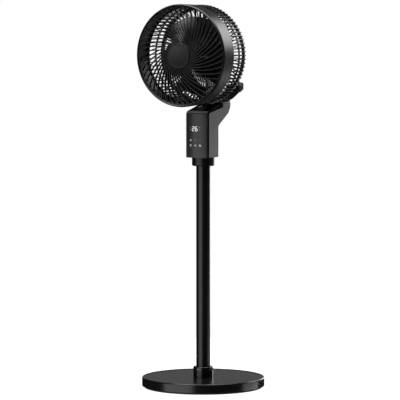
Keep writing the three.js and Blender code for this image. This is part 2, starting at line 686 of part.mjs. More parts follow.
const plateR = MOTOR_R + 6;
const plateY = DRUM_BACK - 7;
const bearingR = 9;
const bearingL = 7;
const bossY = plateY - 17;
const finTop = HEAD_R - 2.3;
const coverScrewR = MOTOR_R - 4.5;
const coverScrewAngles = [90, 210, 330];

function fin() {
  const outline = [
    [BAND_BACK + 1, drumR - 4], [-6, drumR - 4], [DRUM_BACK - 5, drumR - 14], [DRUM_BACK - 5, plateR - 2],
    [DRUM_BACK, plateR - 2], [DRUM_BACK, drumR - 7], [-2, finTop], [BAND_BACK + 1, finTop],
  ];
  return slabX(outline, -FIN_T / 2, FIN_T / 2);
}

// The bracket that carries the head on one pivot pin: a round eye whose foot is let into the
// drum's lower corner. `grow` makes it larger all round, to cut its seat.
function bracketBlank(side, grow) {
  const midX = lugOut - LUG_T / 2;
  const footZ = -Math.sqrt((drumR - 5) ** 2 - midX ** 2);
  const pivotZ = tiltZ - headZ;
  const eye = LUG_R + grow;
  const corners = [];
  for (const x of [lugOut - LUG_T - grow, lugOut + grow]) {
    for (let i = 0; i < 16; i += 1) {
      const angle = 2 * pi * i / 16;
      corners.push([x, TILT_Y + eye * Math.cos(angle), pivotZ + eye * Math.sin(angle)]);
    }
    for (const [y, z] of [[-9 - grow, -4 - grow], [5, -3 - grow], [5, 14 + grow], [-9 - grow, 10 + grow]]) {
      corners.push([x, y, footZ + z]);
    }
  }
  const blank = hull(corners);
  return side > 0 ? blank : blank.mirror([1, 0, 0]);
}

function pivotBracket(side) {
  const bore = rod(PIN_R + RUN, -EAR_X - 2, EAR_X + 2, 16, 'x', 0, TILT_Y, tiltZ - headZ);
  return cut(bracketBlank(side, 0), bore);
}

function rearGrille() {
  const step = 2 * pi / FIN_COUNT;
  const fins = [];
  for (let i = 0; i < FIN_COUNT; i += 1) {
    fins.push(fin().rotate([0, THREE.MathUtils.radToDeg((i + 0.5) * step), 0]));
  }
  const frontRing = tube(drumR - 2, finTop, BAND_BACK + GAP, BAND_BACK + 3, FIN_COUNT, 'y');
  const middleRing = tube(drumR - 2.5, drumR + 1, MIDDLE_RING_Y - 2, MIDDLE_RING_Y + 2, FIN_COUNT, 'y');
  const corner = DRUM_BACK - 15;
  const cornerRing = lathe([[drumR - 8, corner], [drumR + 0.5, corner], [drumR + 0.5, corner + 3],
    [drumR - 3, corner + 8], [drumR - 8, corner + 8]], FIN_COUNT, 'y');
  const plate = lathe([[SHAFT_R + 1, plateY + 6], [SHAFT_R + 1, bossY + bearingL + GAP],
    [bearingR + GAP, bossY + bearingL + GAP], [bearingR + GAP, bossY], [bearingR + 4, bossY],
    [bearingR + 4, plateY], [plateR, plateY], [plateR, plateY + 6]], FIN_COUNT, 'y');
  const screwHoles = coverScrewAngles.map((angle) => {
    const a = THREE.MathUtils.degToRad(angle);
    return rod(1.9, plateY - 1, plateY + 7, 10, 'y', coverScrewR * Math.cos(a), 0, coverScrewR * Math.sin(a));
  });
  const frame = join(frontRing, middleRing, cornerRing, plate, ...fins);
  return cut(frame, bracketBlank(1, GAP), bracketBlank(-1, GAP), ...screwHoles);
}

piece(headGroup, 'rear_grille', rearGrille(), blackSatin);
piece(headGroup, 'pivot_bracket_right', pivotBracket(1), blackSatin);
piece(headGroup, 'pivot_bracket_left', pivotBracket(-1), blackSatin);

// ---- Tilt sector ----------------------------------------------------------------------

// Toothed plate on the head. Its stem ends in a foot that seats on the rear grille's plate.
function tiltSector() {
  const pivotZ = tiltZ - headZ;
  const footTop = -plateR + 16;
  const teeth = gearTeeth(SECTOR_TEETH, 0, -10, 15).map(([y, z]) => [TILT_Y + y, pivotZ + z]);
  const plate = slabX([...teeth, [TILT_Y, pivotZ + 14], [TILT_Y - 10, pivotZ + 6], [TILT_Y - 6, pivotZ - 8]],
    -3, 3);
  const stem = slabX([[DRUM_BACK + 4, pivotZ + 6], [TILT_Y + 6, pivotZ + 4], [TILT_Y + 3, pivotZ + 16],
    [DRUM_BACK + 6, footTop], [DRUM_BACK + GAP, footTop], [DRUM_BACK + GAP, -plateR + 1]], -3, 3);
  const foot = box(-9, 9, DRUM_BACK + GAP, DRUM_BACK + 3, -plateR + 2, Math.min(footTop, -MOTOR_R - GAP));
  return join(plate, stem.intersect(box(-9, 9, 0, 99, -999, -MOTOR_R - GAP)), foot);
}

piece(headGroup, 'tilt_sector', tiltSector(), nylon);

// ---- Motor ----------------------------------------------------------------------------

const coverY = plateY + 6 + GAP;
const coverEnd = DRUM_BACK + MOTOR_L;
const rearBearingY = coverEnd - WALL - GAP - 6;

function motorCover() {
  const inner = MOTOR_R - WALL;
  const cup = lathe([[inner, coverY], [MOTOR_R, coverY], [MOTOR_R, coverEnd - 5], [MOTOR_R - 5, coverEnd],
    [0, coverEnd], [0, coverEnd - WALL], [bearingR + GAP, coverEnd - WALL], [bearingR + GAP, rearBearingY],
    [bearingR + 3, rearBearingY], [bearingR + 3, coverEnd - WALL], [inner - 4, coverEnd - WALL],
    [inner, coverEnd - WALL - 4]], 30, 'y');
  const bosses = coverScrewAngles.map((angle) => {
    const a = THREE.MathUtils.degToRad(angle);
    const x = coverScrewR * Math.cos(a);
    return tube(1.7, 3.6, coverY, coverY + 10, 8, 'y', x, 0, coverScrewR * Math.sin(a));
  });
  return join(cup, ...bosses);
}

const statorR = coverScrewR - 4.2;
const rotorR = statorR * 0.5;
const stator = tube(rotorR + 0.6, statorR, coverY + 3, rearBearingY - 2, 20, 'y');
const rotor = tube(SHAFT_R + GAP, rotorR, coverY + 5, rearBearingY - 4, 20, 'y');
const bearingRing = tube(SHAFT_R + RUN, bearingR, 0, bearingL - 0.7, 20, 'y');
const motorScrew = lathe([[0, 0], [3, 0], [3, 1.8], [1.4, 1.8], [1.4, 14], [0, 14]], 10, 'y');

piece(headGroup, 'motor_cover', motorCover(), blackSatin);
piece(headGroup, 'motor_stator', stator, copper);
piece(headGroup, 'motor_bearing_front', bearingRing, steel, [0, bossY + 0.4, 0]);
const rearBearing = tube(SHAFT_R + RUN, bearingR, rearBearingY, coverEnd - WALL - GAP, 20, 'y');
piece(headGroup, 'motor_bearing_rear', rearBearing, steel);
coverScrewAngles.forEach((angle, i) => {
  const a = THREE.MathUtils.degToRad(angle);
  const place = [coverScrewR * Math.cos(a), plateY - GAP - 1.8, coverScrewR * Math.sin(a)];
  piece(headGroup, `motor_screw_${i + 1}`, motorScrew, steel, place);
});

// ---- Impeller -------------------------------------------------------------------------

const hubFront = RING_Y + 28;
const hubBack = bossY - 3;
const bladeFront = hubFront + 6;
const bladeBack = hubBack - 4;

// One blade: a flat sheet wrapped round the hub, pitched steeply at the root and flatter
// towards its swept tip.
function blade(index) {
  const geometry = new THREE.BoxGeometry(1, 1, 1, 4, 3, 1);
  const place = geometry.attributes.position;
  const rootR = IMPELLER_HUB_R - 2;
  for (let i = 0; i < place.count; i += 1) {
    const out = place.getX(i) + 0.5;
    const along = place.getY(i);
    const r = rootR + out * (bladeR - rootR);
    const span = THREE.MathUtils.degToRad(BLADE_SPAN - 2 * out);
    const sweep = THREE.MathUtils.degToRad(BLADE_PHASE + BLADE_SWEEP * out * out);
    const angle = 2 * pi * index / BLADE_COUNT + span * along + sweep;
    const depth = (bladeBack - bladeFront) * (1 - 0.35 * out);
    const middle = (bladeFront + bladeBack) / 2 + BLADE_RAKE * out;
    const y = middle - depth * along + place.getZ(i) * BLADE_T * 1.4;
    place.setXYZ(i, r * Math.cos(angle), y, r * Math.sin(angle));
  }
  return solid(geometry);
}

function impeller() {
  const bore = SHAFT_R + GAP;
  const hub = lathe([
    [bore, hubFront + 12], [12, hubFront + 12], [12, hubFront], [IMPELLER_HUB_R - 6, hubFront],
    [IMPELLER_HUB_R, hubFront + 6], [IMPELLER_HUB_R, hubBack], [IMPELLER_HUB_R - 2.5, hubBack],
    [IMPELLER_HUB_R - 2.5, hubFront + 16], [10, hubFront + 16], [10, hubBack - 4],
    [bore, hubBack - 4]], 30, 'y');
  const blades = [];
  for (let i = 0; i < BLADE_COUNT; i += 1) blades.push(blade(i));
  const core = rod(IMPELLER_HUB_R - 1, hubFront + 1, hubBack + 20, 30, 'y');
  return join(hub, ...blades.map((one) => one.subtract(core)));
}

const shaft = rod(SHAFT_R, hubFront + 3, coverEnd - WALL - GAP - 0.5, 20, 'y');
const impellerNut = cut(
  rod(9, hubFront + 4, hubFront + 12 - GAP, 6, 'y'),
  rod(SHAFT_R + GAP, hubFront, hubFront + 14, 16, 'y'));

piece(headGroup, 'impeller', impeller(), blackSatin);
piece(headGroup, 'impeller_nut', impellerNut, steel);
piece(headGroup, 'motor_shaft', shaft, steel);
piece(headGroup, 'motor_rotor', rotor, steel);

export default fan;
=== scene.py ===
# %% [markdown]
# # A pedestal fan in Blender
# The real fan is a stack of turned, moulded and extruded parts: a weighted disc, a steel pole,
# a control box and a round head. The frame gives each part's place, in metres, with Z up and the
# air blown towards -Y. Each piece here is built where its frame part is, so nothing is fitted.

# %% Load the frame
import math

import bmesh
import bpy
from mathutils import Matrix, Vector


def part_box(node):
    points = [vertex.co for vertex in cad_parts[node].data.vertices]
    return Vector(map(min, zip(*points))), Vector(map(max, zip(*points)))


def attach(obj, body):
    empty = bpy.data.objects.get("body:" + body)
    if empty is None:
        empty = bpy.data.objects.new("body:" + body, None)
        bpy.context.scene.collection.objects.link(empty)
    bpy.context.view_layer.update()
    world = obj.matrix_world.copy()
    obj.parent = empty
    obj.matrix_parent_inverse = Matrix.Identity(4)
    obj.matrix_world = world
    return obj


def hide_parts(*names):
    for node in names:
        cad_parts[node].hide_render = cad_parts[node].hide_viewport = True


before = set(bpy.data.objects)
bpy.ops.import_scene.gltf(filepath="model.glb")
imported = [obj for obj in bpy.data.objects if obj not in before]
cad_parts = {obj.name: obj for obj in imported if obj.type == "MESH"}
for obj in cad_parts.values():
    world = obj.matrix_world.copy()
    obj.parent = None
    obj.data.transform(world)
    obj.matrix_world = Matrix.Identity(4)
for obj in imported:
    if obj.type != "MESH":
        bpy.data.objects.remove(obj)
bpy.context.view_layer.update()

# %% [markdown]
# The camera stands where a buyer would, a good way back with a long lens, a little to the fan's
# right and above the middle of the pole. A long lens keeps the pole's sides parallel.

# %% Camera
MM = 0.001
AZIMUTH = math.radians(31.3)
CAMERA_DISTANCE = 7.478
CAMERA_HEIGHT = 1.04
LENS = 272.0


def look_from(place, target):
    """The matrix of a camera or lamp at place that faces target."""
    turn = (place - target).to_track_quat("Z", "Y")
    return Matrix.Translation(place) @ turn.to_matrix().to_4x4()


toward_camera = Vector((math.sin(AZIMUTH), -math.cos(AZIMUTH), 0))
aim = Vector((-6.8 * MM, -4.2 * MM, 466.5 * MM))
camera_place = aim + toward_camera * CAMERA_DISTANCE
camera_place.z = CAMERA_HEIGHT
lens = bpy.data.cameras.new("camera")
lens.lens = LENS
lens.clip_end = 100
camera = bpy.data.objects.new("camera", lens)
bpy.context.collection.objects.link(camera)
camera.matrix_world = look_from(camera_place, aim)
bpy.context.scene.camera = camera
print("camera at", [round(value, 3) for value in camera_place])

# %% [markdown]
# ## Finishes
# A finish is a sum of a few patterns: fine grain from the mould, and broad, faint patches where
# hands and dust have been. Sums read best as Python expressions, so a small class wraps a
# shader's output and turns + and * into Math nodes.

# %% Sums of shader values
class Value:
    """An output of a shader node, for use in sums."""

    def __init__(self, finish, socket):
        self.finish = finish
        self.socket = socket

    def maths(self, operation, first, second):
        return self.finish.node("ShaderNodeMath", {"operation": operation}, {0: first, 1: second})

    def __add__(self, other):
        return self.maths("ADD", self, other)

    def __radd__(self, other):
        return self.maths("ADD", other, self)

    def __mul__(self, other):
        return self.maths("MULTIPLY", self, other)

    def __rmul__(self, other):
        return self.maths("MULTIPLY", other, self)


# %% [markdown]
# One method makes every other node. Its settings come first, because they can change which
# sockets there are, and the sockets then take a number, a colour or a link.

# %% A finish and its nodes
class Finish:
    """A material with a Principled shader."""

    def __init__(self, name, **constants):
        self.material = bpy.data.materials.new(name)
        self.material.use_nodes = True
        self.tree = self.material.node_tree
        self.shader = self.tree.nodes["Principled BSDF"]
        self.place = self.node("ShaderNodeTexCoord", {}, {}, "Object")
        for socket, value in constants.items():
            self.shader.inputs[socket.replace("_", " ")].default_value = value

    def node(self, kind, settings, inputs, output=0):
        made = self.tree.nodes.new(kind)
        for setting, value in settings.items():
            setattr(made, setting, value)
        for socket, value in inputs.items():
            self.feed(made.inputs[socket], value)
        return Value(self, made.outputs[output])

    def feed(self, socket, value):
        if isinstance(value, Value):
            self.tree.links.new(value.socket, socket)
        else:
            socket.default_value = value

    def noise(self, size, detail=2.0, stretch=(1, 1, 1)):
        """A cloudy pattern whose patches are about size across, in metres."""
        place = self.node("ShaderNodeMapping", {}, {"Vector": self.place, "Scale": stretch})
        return self.node("ShaderNodeTexNoise", {},
                         {"Vector": place, "Scale": 1 / size, "Detail": detail})

    def between(self, amount, low, high):
        """The colour that lies amount of the way from low to high."""
        return self.node("ShaderNodeMix", {"data_type": "RGBA"}, {0: amount, 6: low, 7: high}, 2)

    def surface(self, colour, roughness):
        self.feed(self.shader.inputs["Base Color"], colour)
        self.feed(self.shader.inputs["Roughness"], roughness)

    def bump(self, height, depth):
        """Raises the surface by height, which runs from 0 to 1, times depth in metres."""
        normal = self.node("ShaderNodeBump", {},
                           {"Strength": 1.0, "Distance": depth, "Height": height}, "Normal")
        self.feed(self.shader.inputs["Normal"], normal)


def grey(level, warmth=0.0):
    """An opaque near-grey colour."""
    return (level * (1 + warmth), level, level * (1 - warmth), 1.0)


# %% [markdown]
# Almost every surface is moulded plastic or powder coat, and both are a coloured base with a
# grain. They differ in the grain's size and depth and in the gloss, so one function makes them
# all.

# %% Moulded plastic and powder coat
def moulded(name, level, roughness, grain, depth, warmth=0.0, patches=0.12, coat=0.0):
    finish = Finish(name, IOR=1.5, Coat_Weight=coat, Coat_Roughness=0.06)
    fine = finish.noise(grain, 3.0)
    broad = finish.noise(0.06, 4.0)
    worn = finish.noise(0.012, 5.0)
    dark, pale = grey(level * (1 - patches), warmth), grey(level * (1 + patches), warmth)
    colour = finish.between(broad * 0.7 + fine * 0.3, dark, pale)
    smoothest = roughness * (1 - 0.5 * patches)
    finish.surface(colour, smoothest + broad * patches * roughness + worn * 0.05)
    finish.bump(fine, depth)
    return finish.material


satin_black = moulded("satin_black_abs", 0.0035, 0.34, 0.0009, 0.000008)
grille_black = moulded("grille_black_abs", 0.0035, 0.33, 0.0008, 0.000004)
# The ribs are black plastic, but their base is paler than the other black: a painted sheen for the
# light along their edges.
rib_black_painted_sheen = moulded("rib_black_abs_painted_sheen", 0.016, 0.36, 0.0008, 0.000004)
cap_black = moulded("cap_black_abs", 0.0025, 0.42, 0.0008, 0.000004)
gloss_black = moulded("gloss_black_abs", 0.0025, 0.14, 0.004, 0.000004, coat=0.5)
disc_black = moulded("base_black_abs", 0.0035, 0.20, 0.0012, 0.000005, patches=0.2)
pole_black = moulded("pole_powder_coat", 0.003, 0.30, 0.0015, 0.000008)
box_grey = moulded("box_grey_abs", 0.17, 0.50, 0.0007, 0.00002, warmth=-0.02)
panel_smoke = moulded("smoked_panel", 0.030, 0.32, 0.0007, 0.000004, patches=0.06)
# The pale grey of the panel's sloping lip is a painted highlight where the lip catches light.
lip_painted_highlight = moulded("lip_painted_highlight_grey", 0.24, 0.35, 0.0006, 0.000004)
foot_rubber = moulded("foot_rubber", 0.02, 0.85, 0.0006, 0.0001)
natural_nylon = moulded("natural_nylon", 0.72, 0.42, 0.001, 0.00003, warmth=0.04, patches=0.04)
dyed_nylon = moulded("dyed_nylon", 0.006, 0.42, 0.001, 0.00001)
board_green = moulded("green_board", 0.05, 0.35, 0.0008, 0.00003)
print("moulded finishes made")

# %% [markdown]
# Metal shows how it was worked. Turned and brushed steel has fine lines round it, brass has the
# same with a warm colour, and a winding is a close-laid row of copper wire.

# %% Metals
def brushed(name, colour, roughness, stretch):
    finish = Finish(name, Metallic=1.0)
    lines = finish.noise(0.002, 6.0, stretch)
    broad = finish.noise(0.02, 3.0)
    darker = tuple(channel * 0.82 for channel in colour[:3]) + (1.0,)
    finish.surface(finish.between(broad, darker, colour), roughness + lines * 0.18)
    finish.bump(lines, 0.00002)
    return finish.material


bright_steel = brushed("turned_steel", (0.55, 0.56, 0.58, 1), 0.22, (1, 1, 30))
pin_steel = brushed("drawn_steel", (0.55, 0.56, 0.58, 1), 0.22, (0.2, 30, 30))
gear_brass = brushed("gear_brass", (0.72, 0.53, 0.25, 1), 0.25, (1, 1, 20))


def winding(name):
    finish = Finish(name, Metallic=0.9)
    wire = finish.node("ShaderNodeTexWave", {"bands_direction": "Y"},
                       {"Vector": finish.place, "Scale": 260.0, "Distortion": 0.4})
    finish.surface(finish.between(wire, (0.25, 0.09, 0.03, 1), (0.72, 0.33, 0.16, 1)),
                   0.28 + wire * 0.1)
    finish.bump(wire, 0.0003)
    return finish.material


copper_wire = winding("copper_winding")
print("metals made")

# %% [markdown]
# The numerals and keys are printed windows that light up from behind. A lit one is pale and
# shines; one that is off is only a little paler than the panel round it.

# %% Lit and unlit marks
def mark_light(name, level, glow):
    finish = Finish(name, Emission_Strength=glow, Roughness=0.35)
    cells = finish.noise(0.0012, 2.0)
    shade = finish.between(cells, grey(level * 0.85), grey(level))
    finish.feed(finish.shader.inputs["Base Color"], shade)
    finish.feed(finish.shader.inputs["Emission Color"], shade)
    return finish.material


lit_mark = mark_light("lit_mark", 0.9, 1.0)
half_mark = mark_light("half_lit_mark", 0.6, 0.5)
unlit_mark = mark_light("unlit_mark", 0.30, 0.1)
print("marks made")

# %% [markdown]
# ## Making and joining pieces
# A turned part is a profile spun round its axis, as on a lathe. The corners of the profile are
# rounded before the spin, because a bevel on a few loose points costs nothing and every edge of
# the turned part comes out round.

# %% Profile and spin
SPIN_STEPS = 160


def profile(bm, points, closed):
    """Draws (place, rounding) points as one line, then rounds the corners that ask for it."""
    verts = [bm.verts.new(place) for place, _ in points]
    pairs = list(zip(verts, verts[1:]))
    if closed:
        pairs.append((verts[-1], verts[0]))
    for pair in pairs:
        bm.edges.new(pair)
    for vert, (_, rounding) in zip(verts, points):
        if rounding:
            bmesh.ops.bevel(bm, geom=[vert], offset=rounding * MM, segments=5, profile=0.5,
                            affect="VERTICES", material=-1)


def spun(points, axis="Z", centre=(0, 0, 0), closed=True, steps=SPIN_STEPS):
    """Spins (radius, along, rounding) points, in mm, round the axis through centre, in metres."""
    bm = bmesh.new()
    middle = Vector(centre)
    along = Vector((0, 0, 1)) if axis == "Z" else Vector((0, 1, 0))
    placed = [(middle + Vector((r * MM, 0, 0)) + along * h * MM, rounding)
              for r, h, rounding in points]
    profile(bm, placed, closed)
    bmesh.ops.spin(bm, geom=bm.verts[:] + bm.edges[:], cent=middle, axis=along,
                   angle=2 * math.pi, steps=steps, use_merge=True)
    return bm


# %% [markdown]
# A moulded part with flat sides is an outline pushed through a distance. Outlines here are drawn
# in the side view, Y and Z, and pushed along X.

# %% Outline and push
def pushed(outline, x0, x1, steps=1, segments=8):
    """Pushes a (y, z, rounding) outline in mm from x0 to x1."""
    bm = bmesh.new()
    verts = [bm.verts.new((x0 * MM, y * MM, z * MM)) for y, z, _ in outline]
    bm.faces.new(verts)
    for vert, (_, _, rounding) in zip(verts, outline):
        if rounding:
            bmesh.ops.bevel(bm, geom=[vert], offset=rounding * MM, segments=segments,
                            profile=0.5, affect="VERTICES", material=-1)
    bm.faces.ensure_lookup_table()
    face = bm.faces[0]
    for _ in range(steps):
        grown = bmesh.ops.extrude_face_region(bm, geom=[face], use_keep_orig=face.index == 0)
        moved = [item for item in grown["geom"] if isinstance(item, bmesh.types.BMVert)]
        bmesh.ops.translate(bm, verts=moved, vec=((x1 - x0) * MM / steps, 0, 0))
        face = next(item for item in grown["geom"] if isinstance(item, bmesh.types.BMFace))
    bmesh.ops.recalc_face_normals(bm, faces=bm.faces)
    return bm


# %% [markdown]
# Every piece ends the same way: doubles are merged, faces are turned outwards unless it came from
# a cut, the surface is smooth except at sharp folds, the piece is put on the body it rides on and
# the frame parts it stands for are hidden. Weighted normals keep large flats flat beside small
# round edges.

# %% Finish a piece
SHARP = math.radians(32)


def new_object(name, bm, material):
    mesh = bpy.data.meshes.new(name)
    bm.to_mesh(mesh)
    bm.free()
    made = bpy.data.objects.new(name, mesh)
    bpy.context.collection.objects.link(made)
    made.data.materials.append(material)
    return made


def settle(made, body, nodes=()):
    """Shades a piece smooth, weights its normals and puts it on its body."""
    made.data.shade_smooth()
    made.data.set_sharp_from_angle(angle=SHARP)
    weighted = made.modifiers.new("weighted_normals", "WEIGHTED_NORMAL")
    weighted.keep_sharp = True
    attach(made, body)
    if nodes:
        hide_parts(*nodes)
    print(made.name, len(made.data.polygons), "faces")


def piece(name, bm, material, body, nodes=(), outward=True):
    bmesh.ops.remove_doubles(bm, verts=bm.verts, dist=0.002 * MM)
    if outward:
        bmesh.ops.recalc_face_normals(bm, faces=bm.faces)
    settle(new_object(name, bm, material), body, nodes)


# %% [markdown]
# Holes and scoops are cut with a Boolean, the way a mould's core leaves them. The cutter is a
# piece of its own that is thrown away after the cut.

# %% Cut
def carve(bm, cutter_bm):
    """Cuts cutter_bm out of bm and gives the result as a new bmesh."""
    parts = []
    for part in (bm, cutter_bm):
        bmesh.ops.remove_doubles(part, verts=part.verts, dist=0.001 * MM)
        bmesh.ops.recalc_face_normals(part, faces=part.faces)
        parts.append(new_object("carving", part, satin_black))
    body, cutter = parts
    cut = body.modifiers.new("cut", "BOOLEAN")
    cut.operation = "DIFFERENCE"
    cut.solver = "EXACT"
    cut.object = cutter
    bpy.context.view_layer.update()
    result = bmesh.new()
    result.from_object(body, bpy.context.evaluated_depsgraph_get())
    for part in parts:
        bpy.data.objects.remove(part)
    return result


def rod(radius, start, length, axis="Z"):
    """A plain round bar from start along Z or Y, in mm, for use as a cutter."""
    bm = bmesh.new()
    bmesh.ops.create_cone(bm, cap_ends=True, segments=48, radius1=radius * MM,
                          radius2=radius * MM, depth=length * MM)
    turn = {"Z": Matrix.Identity(4), "Y": Matrix.Rotation(-math.pi / 2, 4, "X")}[axis]
    shift = {"Z": (0, 0, length / 2), "Y": (0, length / 2, 0)}[axis]
    middle = Vector(start) + Vector(shift)
    bmesh.ops.transform(bm, matrix=Matrix.Translation(middle * MM) @ turn, verts=bm.verts)
    return bm


def block(low, high):
    """A plain box between two corners, in mm, for use as a cutter."""
    bm = bmesh.new()
    bmesh.ops.create_cube(bm, size=1)
    size = [b - a for a, b in zip(low, high)]
    middle = [(a + b) / 2 for a, b in zip(low, high)]
    bmesh.ops.scale(bm, verts=bm.verts, vec=[s * MM for s in size])
    bmesh.ops.translate(bm, verts=bm.verts, vec=[m * MM for m in middle])
    return bm


# %% [markdown]
# A grille or a wheel is one moulding made here in stages. Its ribs or blades are spun as copies
# of the first one, and its rings are then added to the same mesh, which needs no Boolean.

# %% Add and copy
def absorb(bm, part):
    """Adds the faces of part to bm and throws part away."""
    held = bpy.data.meshes.new("held")
    part.to_mesh(held)
    part.free()
    bm.from_mesh(held)
    bpy.data.meshes.remove(held)


def copy_round(bm, centre, count):
    """Repeats what is in bm until there are count of it, evenly spaced round a Y axis."""
    bmesh.ops.spin(bm, geom=bm.verts[:] + bm.edges[:] + bm.faces[:], cent=centre, axis=(0, 1, 0),
                   angle=2 * math.pi * (count - 1) / count, steps=count - 1, use_duplicate=True)


# %% [markdown]
# Some frame parts already have the right form and only lack the soft edges a mould leaves. A
# copy of such a part has its loose triangles merged and its flats joined, and then takes a
# small bevel on each sharp edge.

# %% Soften a copy of a frame part
def softened(node, material, body, width, segments=3):
    bm = bmesh.new()
    bm.from_mesh(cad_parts[node].data)
    bmesh.ops.remove_doubles(bm, verts=bm.verts, dist=0.005 * MM)
    bmesh.ops.dissolve_limit(bm, angle_limit=math.radians(1), verts=bm.verts, edges=bm.edges)
    bmesh.ops.dissolve_degenerate(bm, dist=0.02 * MM, edges=bm.edges)
    made = new_object("soft_" + node, bm, material)
    rounding = made.modifiers.new("soft_edges", "BEVEL")
    rounding.width = width * MM
    rounding.segments = segments
    rounding.limit_method = "ANGLE"
    rounding.angle_limit = math.radians(30)
    rounding.use_clamp_overlap = True
    settle(made, body, [node])


# %% [markdown]
# ## The base
# The base is a shallow moulded dish turned upside down over a steel weight. Its rim is one
# round corner with a thin bright line of light on it, and the top lies a little below it. It is
# spun as a closed wall, so that the inside is real too.

# %% Base disc
base_lo, base_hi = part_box("base_cover")
BASE_R = base_hi.x / MM
BASE_BOTTOM, BASE_TOP = base_lo.z / MM, base_hi.z / MM
BOLT_HOLE_R = 9.2
RECESS = 1.0
RIM_W = 8.0
inside_r, inside_top = BASE_R - 3, BASE_TOP - 2.5
piece("base_disc", spun([
    (BOLT_HOLE_R, BASE_TOP - RECESS, 0), (BASE_R - RIM_W, BASE_TOP - RECESS, 0.8),
    (BASE_R - RIM_W + 1.6, BASE_TOP, 0.8), (BASE_R, BASE_TOP, 3.2), (BASE_R, BASE_BOTTOM, 0.8),
    (inside_r, BASE_BOTTOM, 0.4), (inside_r, inside_top, 1), (BOLT_HOLE_R, inside_top, 0)],
    steps=220), disc_black, "stand", ["base_cover"])

# %% [markdown]
# A turned collar hides the joint of the pole and the base. It tapers a little and has a round
# top edge.

# %% Base collar
collar_lo, collar_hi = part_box("base_collar")
COLLAR_R = collar_hi.x / MM
POLE_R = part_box("pole")[1].x / MM
POLE_BORE = POLE_R + 0.3
collar_bottom, collar_top = collar_lo.z / MM - RECESS, collar_hi.z / MM
piece("pole_collar", spun([
    (POLE_BORE, collar_bottom, 0), (COLLAR_R, collar_bottom, 0.5), (COLLAR_R, collar_top - 3, 0.6),
    (COLLAR_R - 0.9, collar_top, 1.2), (POLE_BORE, collar_top, 0.4)]),
    gloss_black, "stand", ["base_collar"])

# %% [markdown]
# The pole is a drawn steel tube with a powder coat, a hollow wall all the way up.

# %% Pole
pole_lo, pole_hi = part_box("pole")
POLE_WALL = 1.6
pole_foot, pole_top = pole_lo.z / MM, pole_hi.z / MM
piece("pole_tube", spun([
    (POLE_R - POLE_WALL, pole_foot, 0.2), (POLE_R, pole_foot, 0.3),
    (POLE_R, pole_top, 0.3), (POLE_R - POLE_WALL, pole_top, 0.2)], steps=128),
    pole_black, "stand", ["pole"])

# %% [markdown]
# A plain ring clamps the control box on the pole. Its lower edge is well rounded and its top
# edge, which meets the box, is nearly sharp.

# %% Lock collar
lock_lo, lock_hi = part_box("lock_collar")
LOCK_R = lock_hi.x / MM
lock_bottom, lock_top = lock_lo.z / MM, lock_hi.z / MM
piece("lock_ring", spun([
    (POLE_BORE, lock_bottom, 0.4), (LOCK_R, lock_bottom, 3.2), (LOCK_R, lock_top, 0.6),
    (POLE_BORE, lock_top, 0.2)]), satin_black, "stand", ["lock_collar"])

# %% [markdown]
# ## The control box
# The grey rear half runs up into the neck that carries the yoke. From the side it is one outline
# with a crease low on its back and a big round bend under the neck, so it is pushed along X. The
# face towards the front cover is then opened, and a wall is given to what is left.

# %% Rear housing
house_lo, house_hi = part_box("rear_housing")
BOX_X = house_hi.x / MM
BOX_Z = house_lo.z / MM
NECK_Z = house_hi.z / MM
NECK_Y = house_hi.y / MM
FRONT_Y = house_lo.y / MM
STRIP_FRONT = BOX_Z + 109.8
STRIP_BACK = NECK_Z - 13.7
NECK_FRONT = 43.5
SPIGOT_Y = 60.0
BACK_Y = 24.0
CREASE_Z = BOX_Z + 77
BEND_Z, BEND_R = BOX_Z + 112.9, 17
WALL = 2.2

bm = pushed([
    (FRONT_Y, BOX_Z, 0), (BACK_Y, BOX_Z, 0), (BACK_Y, CREASE_Z, 3), (NECK_Y, BEND_Z, BEND_R),
    (NECK_Y, NECK_Z, 0), (NECK_FRONT, NECK_Z, 0), (NECK_FRONT, STRIP_BACK, 0),
    (FRONT_Y, STRIP_FRONT, 0)], -BOX_X, BOX_X, segments=12)


def is_open_face(face):
    middle = face.calc_center_median() / MM
    facing_front = face.normal.y < -0.9 and middle.y < FRONT_Y + 1
    facing_cover = face.normal.z > 0.9 and middle.y < NECK_FRONT
    return facing_front or facing_cover


open_edges = {edge for face in bm.faces if is_open_face(face) for edge in face.edges}
back_edges = [edge for edge in bm.edges if edge not in open_edges and edge.calc_face_angle(0) > 0.9]
bmesh.ops.bevel(bm, geom=back_edges, offset=3.0 * MM, segments=5, profile=0.5, affect="EDGES",
                material=-1, clamp_overlap=True)
bmesh.ops.delete(bm, geom=[face for face in bm.faces if is_open_face(face)], context="FACES_ONLY")
bmesh.ops.recalc_face_normals(bm, faces=bm.faces)
bmesh.ops.solidify(bm, geom=bm.faces[:], thickness=WALL * MM)
inlet_lo, inlet_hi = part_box("power_inlet")
INLET_Z = (inlet_lo.z + inlet_hi.z) / 2 / MM
BUSH_HOLE_R, POLE_HOLE_R, INLET_HOLE_R = 10.6, 21.1, 5.8
bm = carve(bm, rod(BUSH_HOLE_R, (0, SPIGOT_Y, NECK_Z - 8), 12))
bm = carve(bm, rod(POLE_HOLE_R, (0, 0, BOX_Z - 3), 8))
bm = carve(bm, rod(INLET_HOLE_R, (0, BACK_Y - 6, INLET_Z), 10, "Y"))
piece("rear_shell", bm, box_grey, "stand", ["rear_housing"], outward=False)

# %% [markdown]
# The gloss front half shows only at its edges: a narrow black strip beside the panel, and the
# top, which slopes up to the neck. The top has a flat chamfer round its rim and a wide, shallow
# scoop that is black inside. It is pushed from its side outline, chamfered, hollowed and then
# scooped with the lower half of a stretched ball.

# %% Front cover
RIM_FRONT_Y = -31.0
RIM_FRONT_Z = BOX_Z + 116
RIM_SLOPE = 0.24
COVER_END = NECK_FRONT - 0.3
LIP_HEIGHT = 7.0
LIP_IN = 3.8
LIP_Z = RIM_FRONT_Z - LIP_HEIGHT
PANEL_ARC = 70.0
PANEL_ROOM = 2.3
SCOOP_RIM, SCOOP_DEPTH = 4.6, 9.0
ARC_Y = RIM_FRONT_Y + math.sqrt(PANEL_ARC ** 2 - BOX_X ** 2)


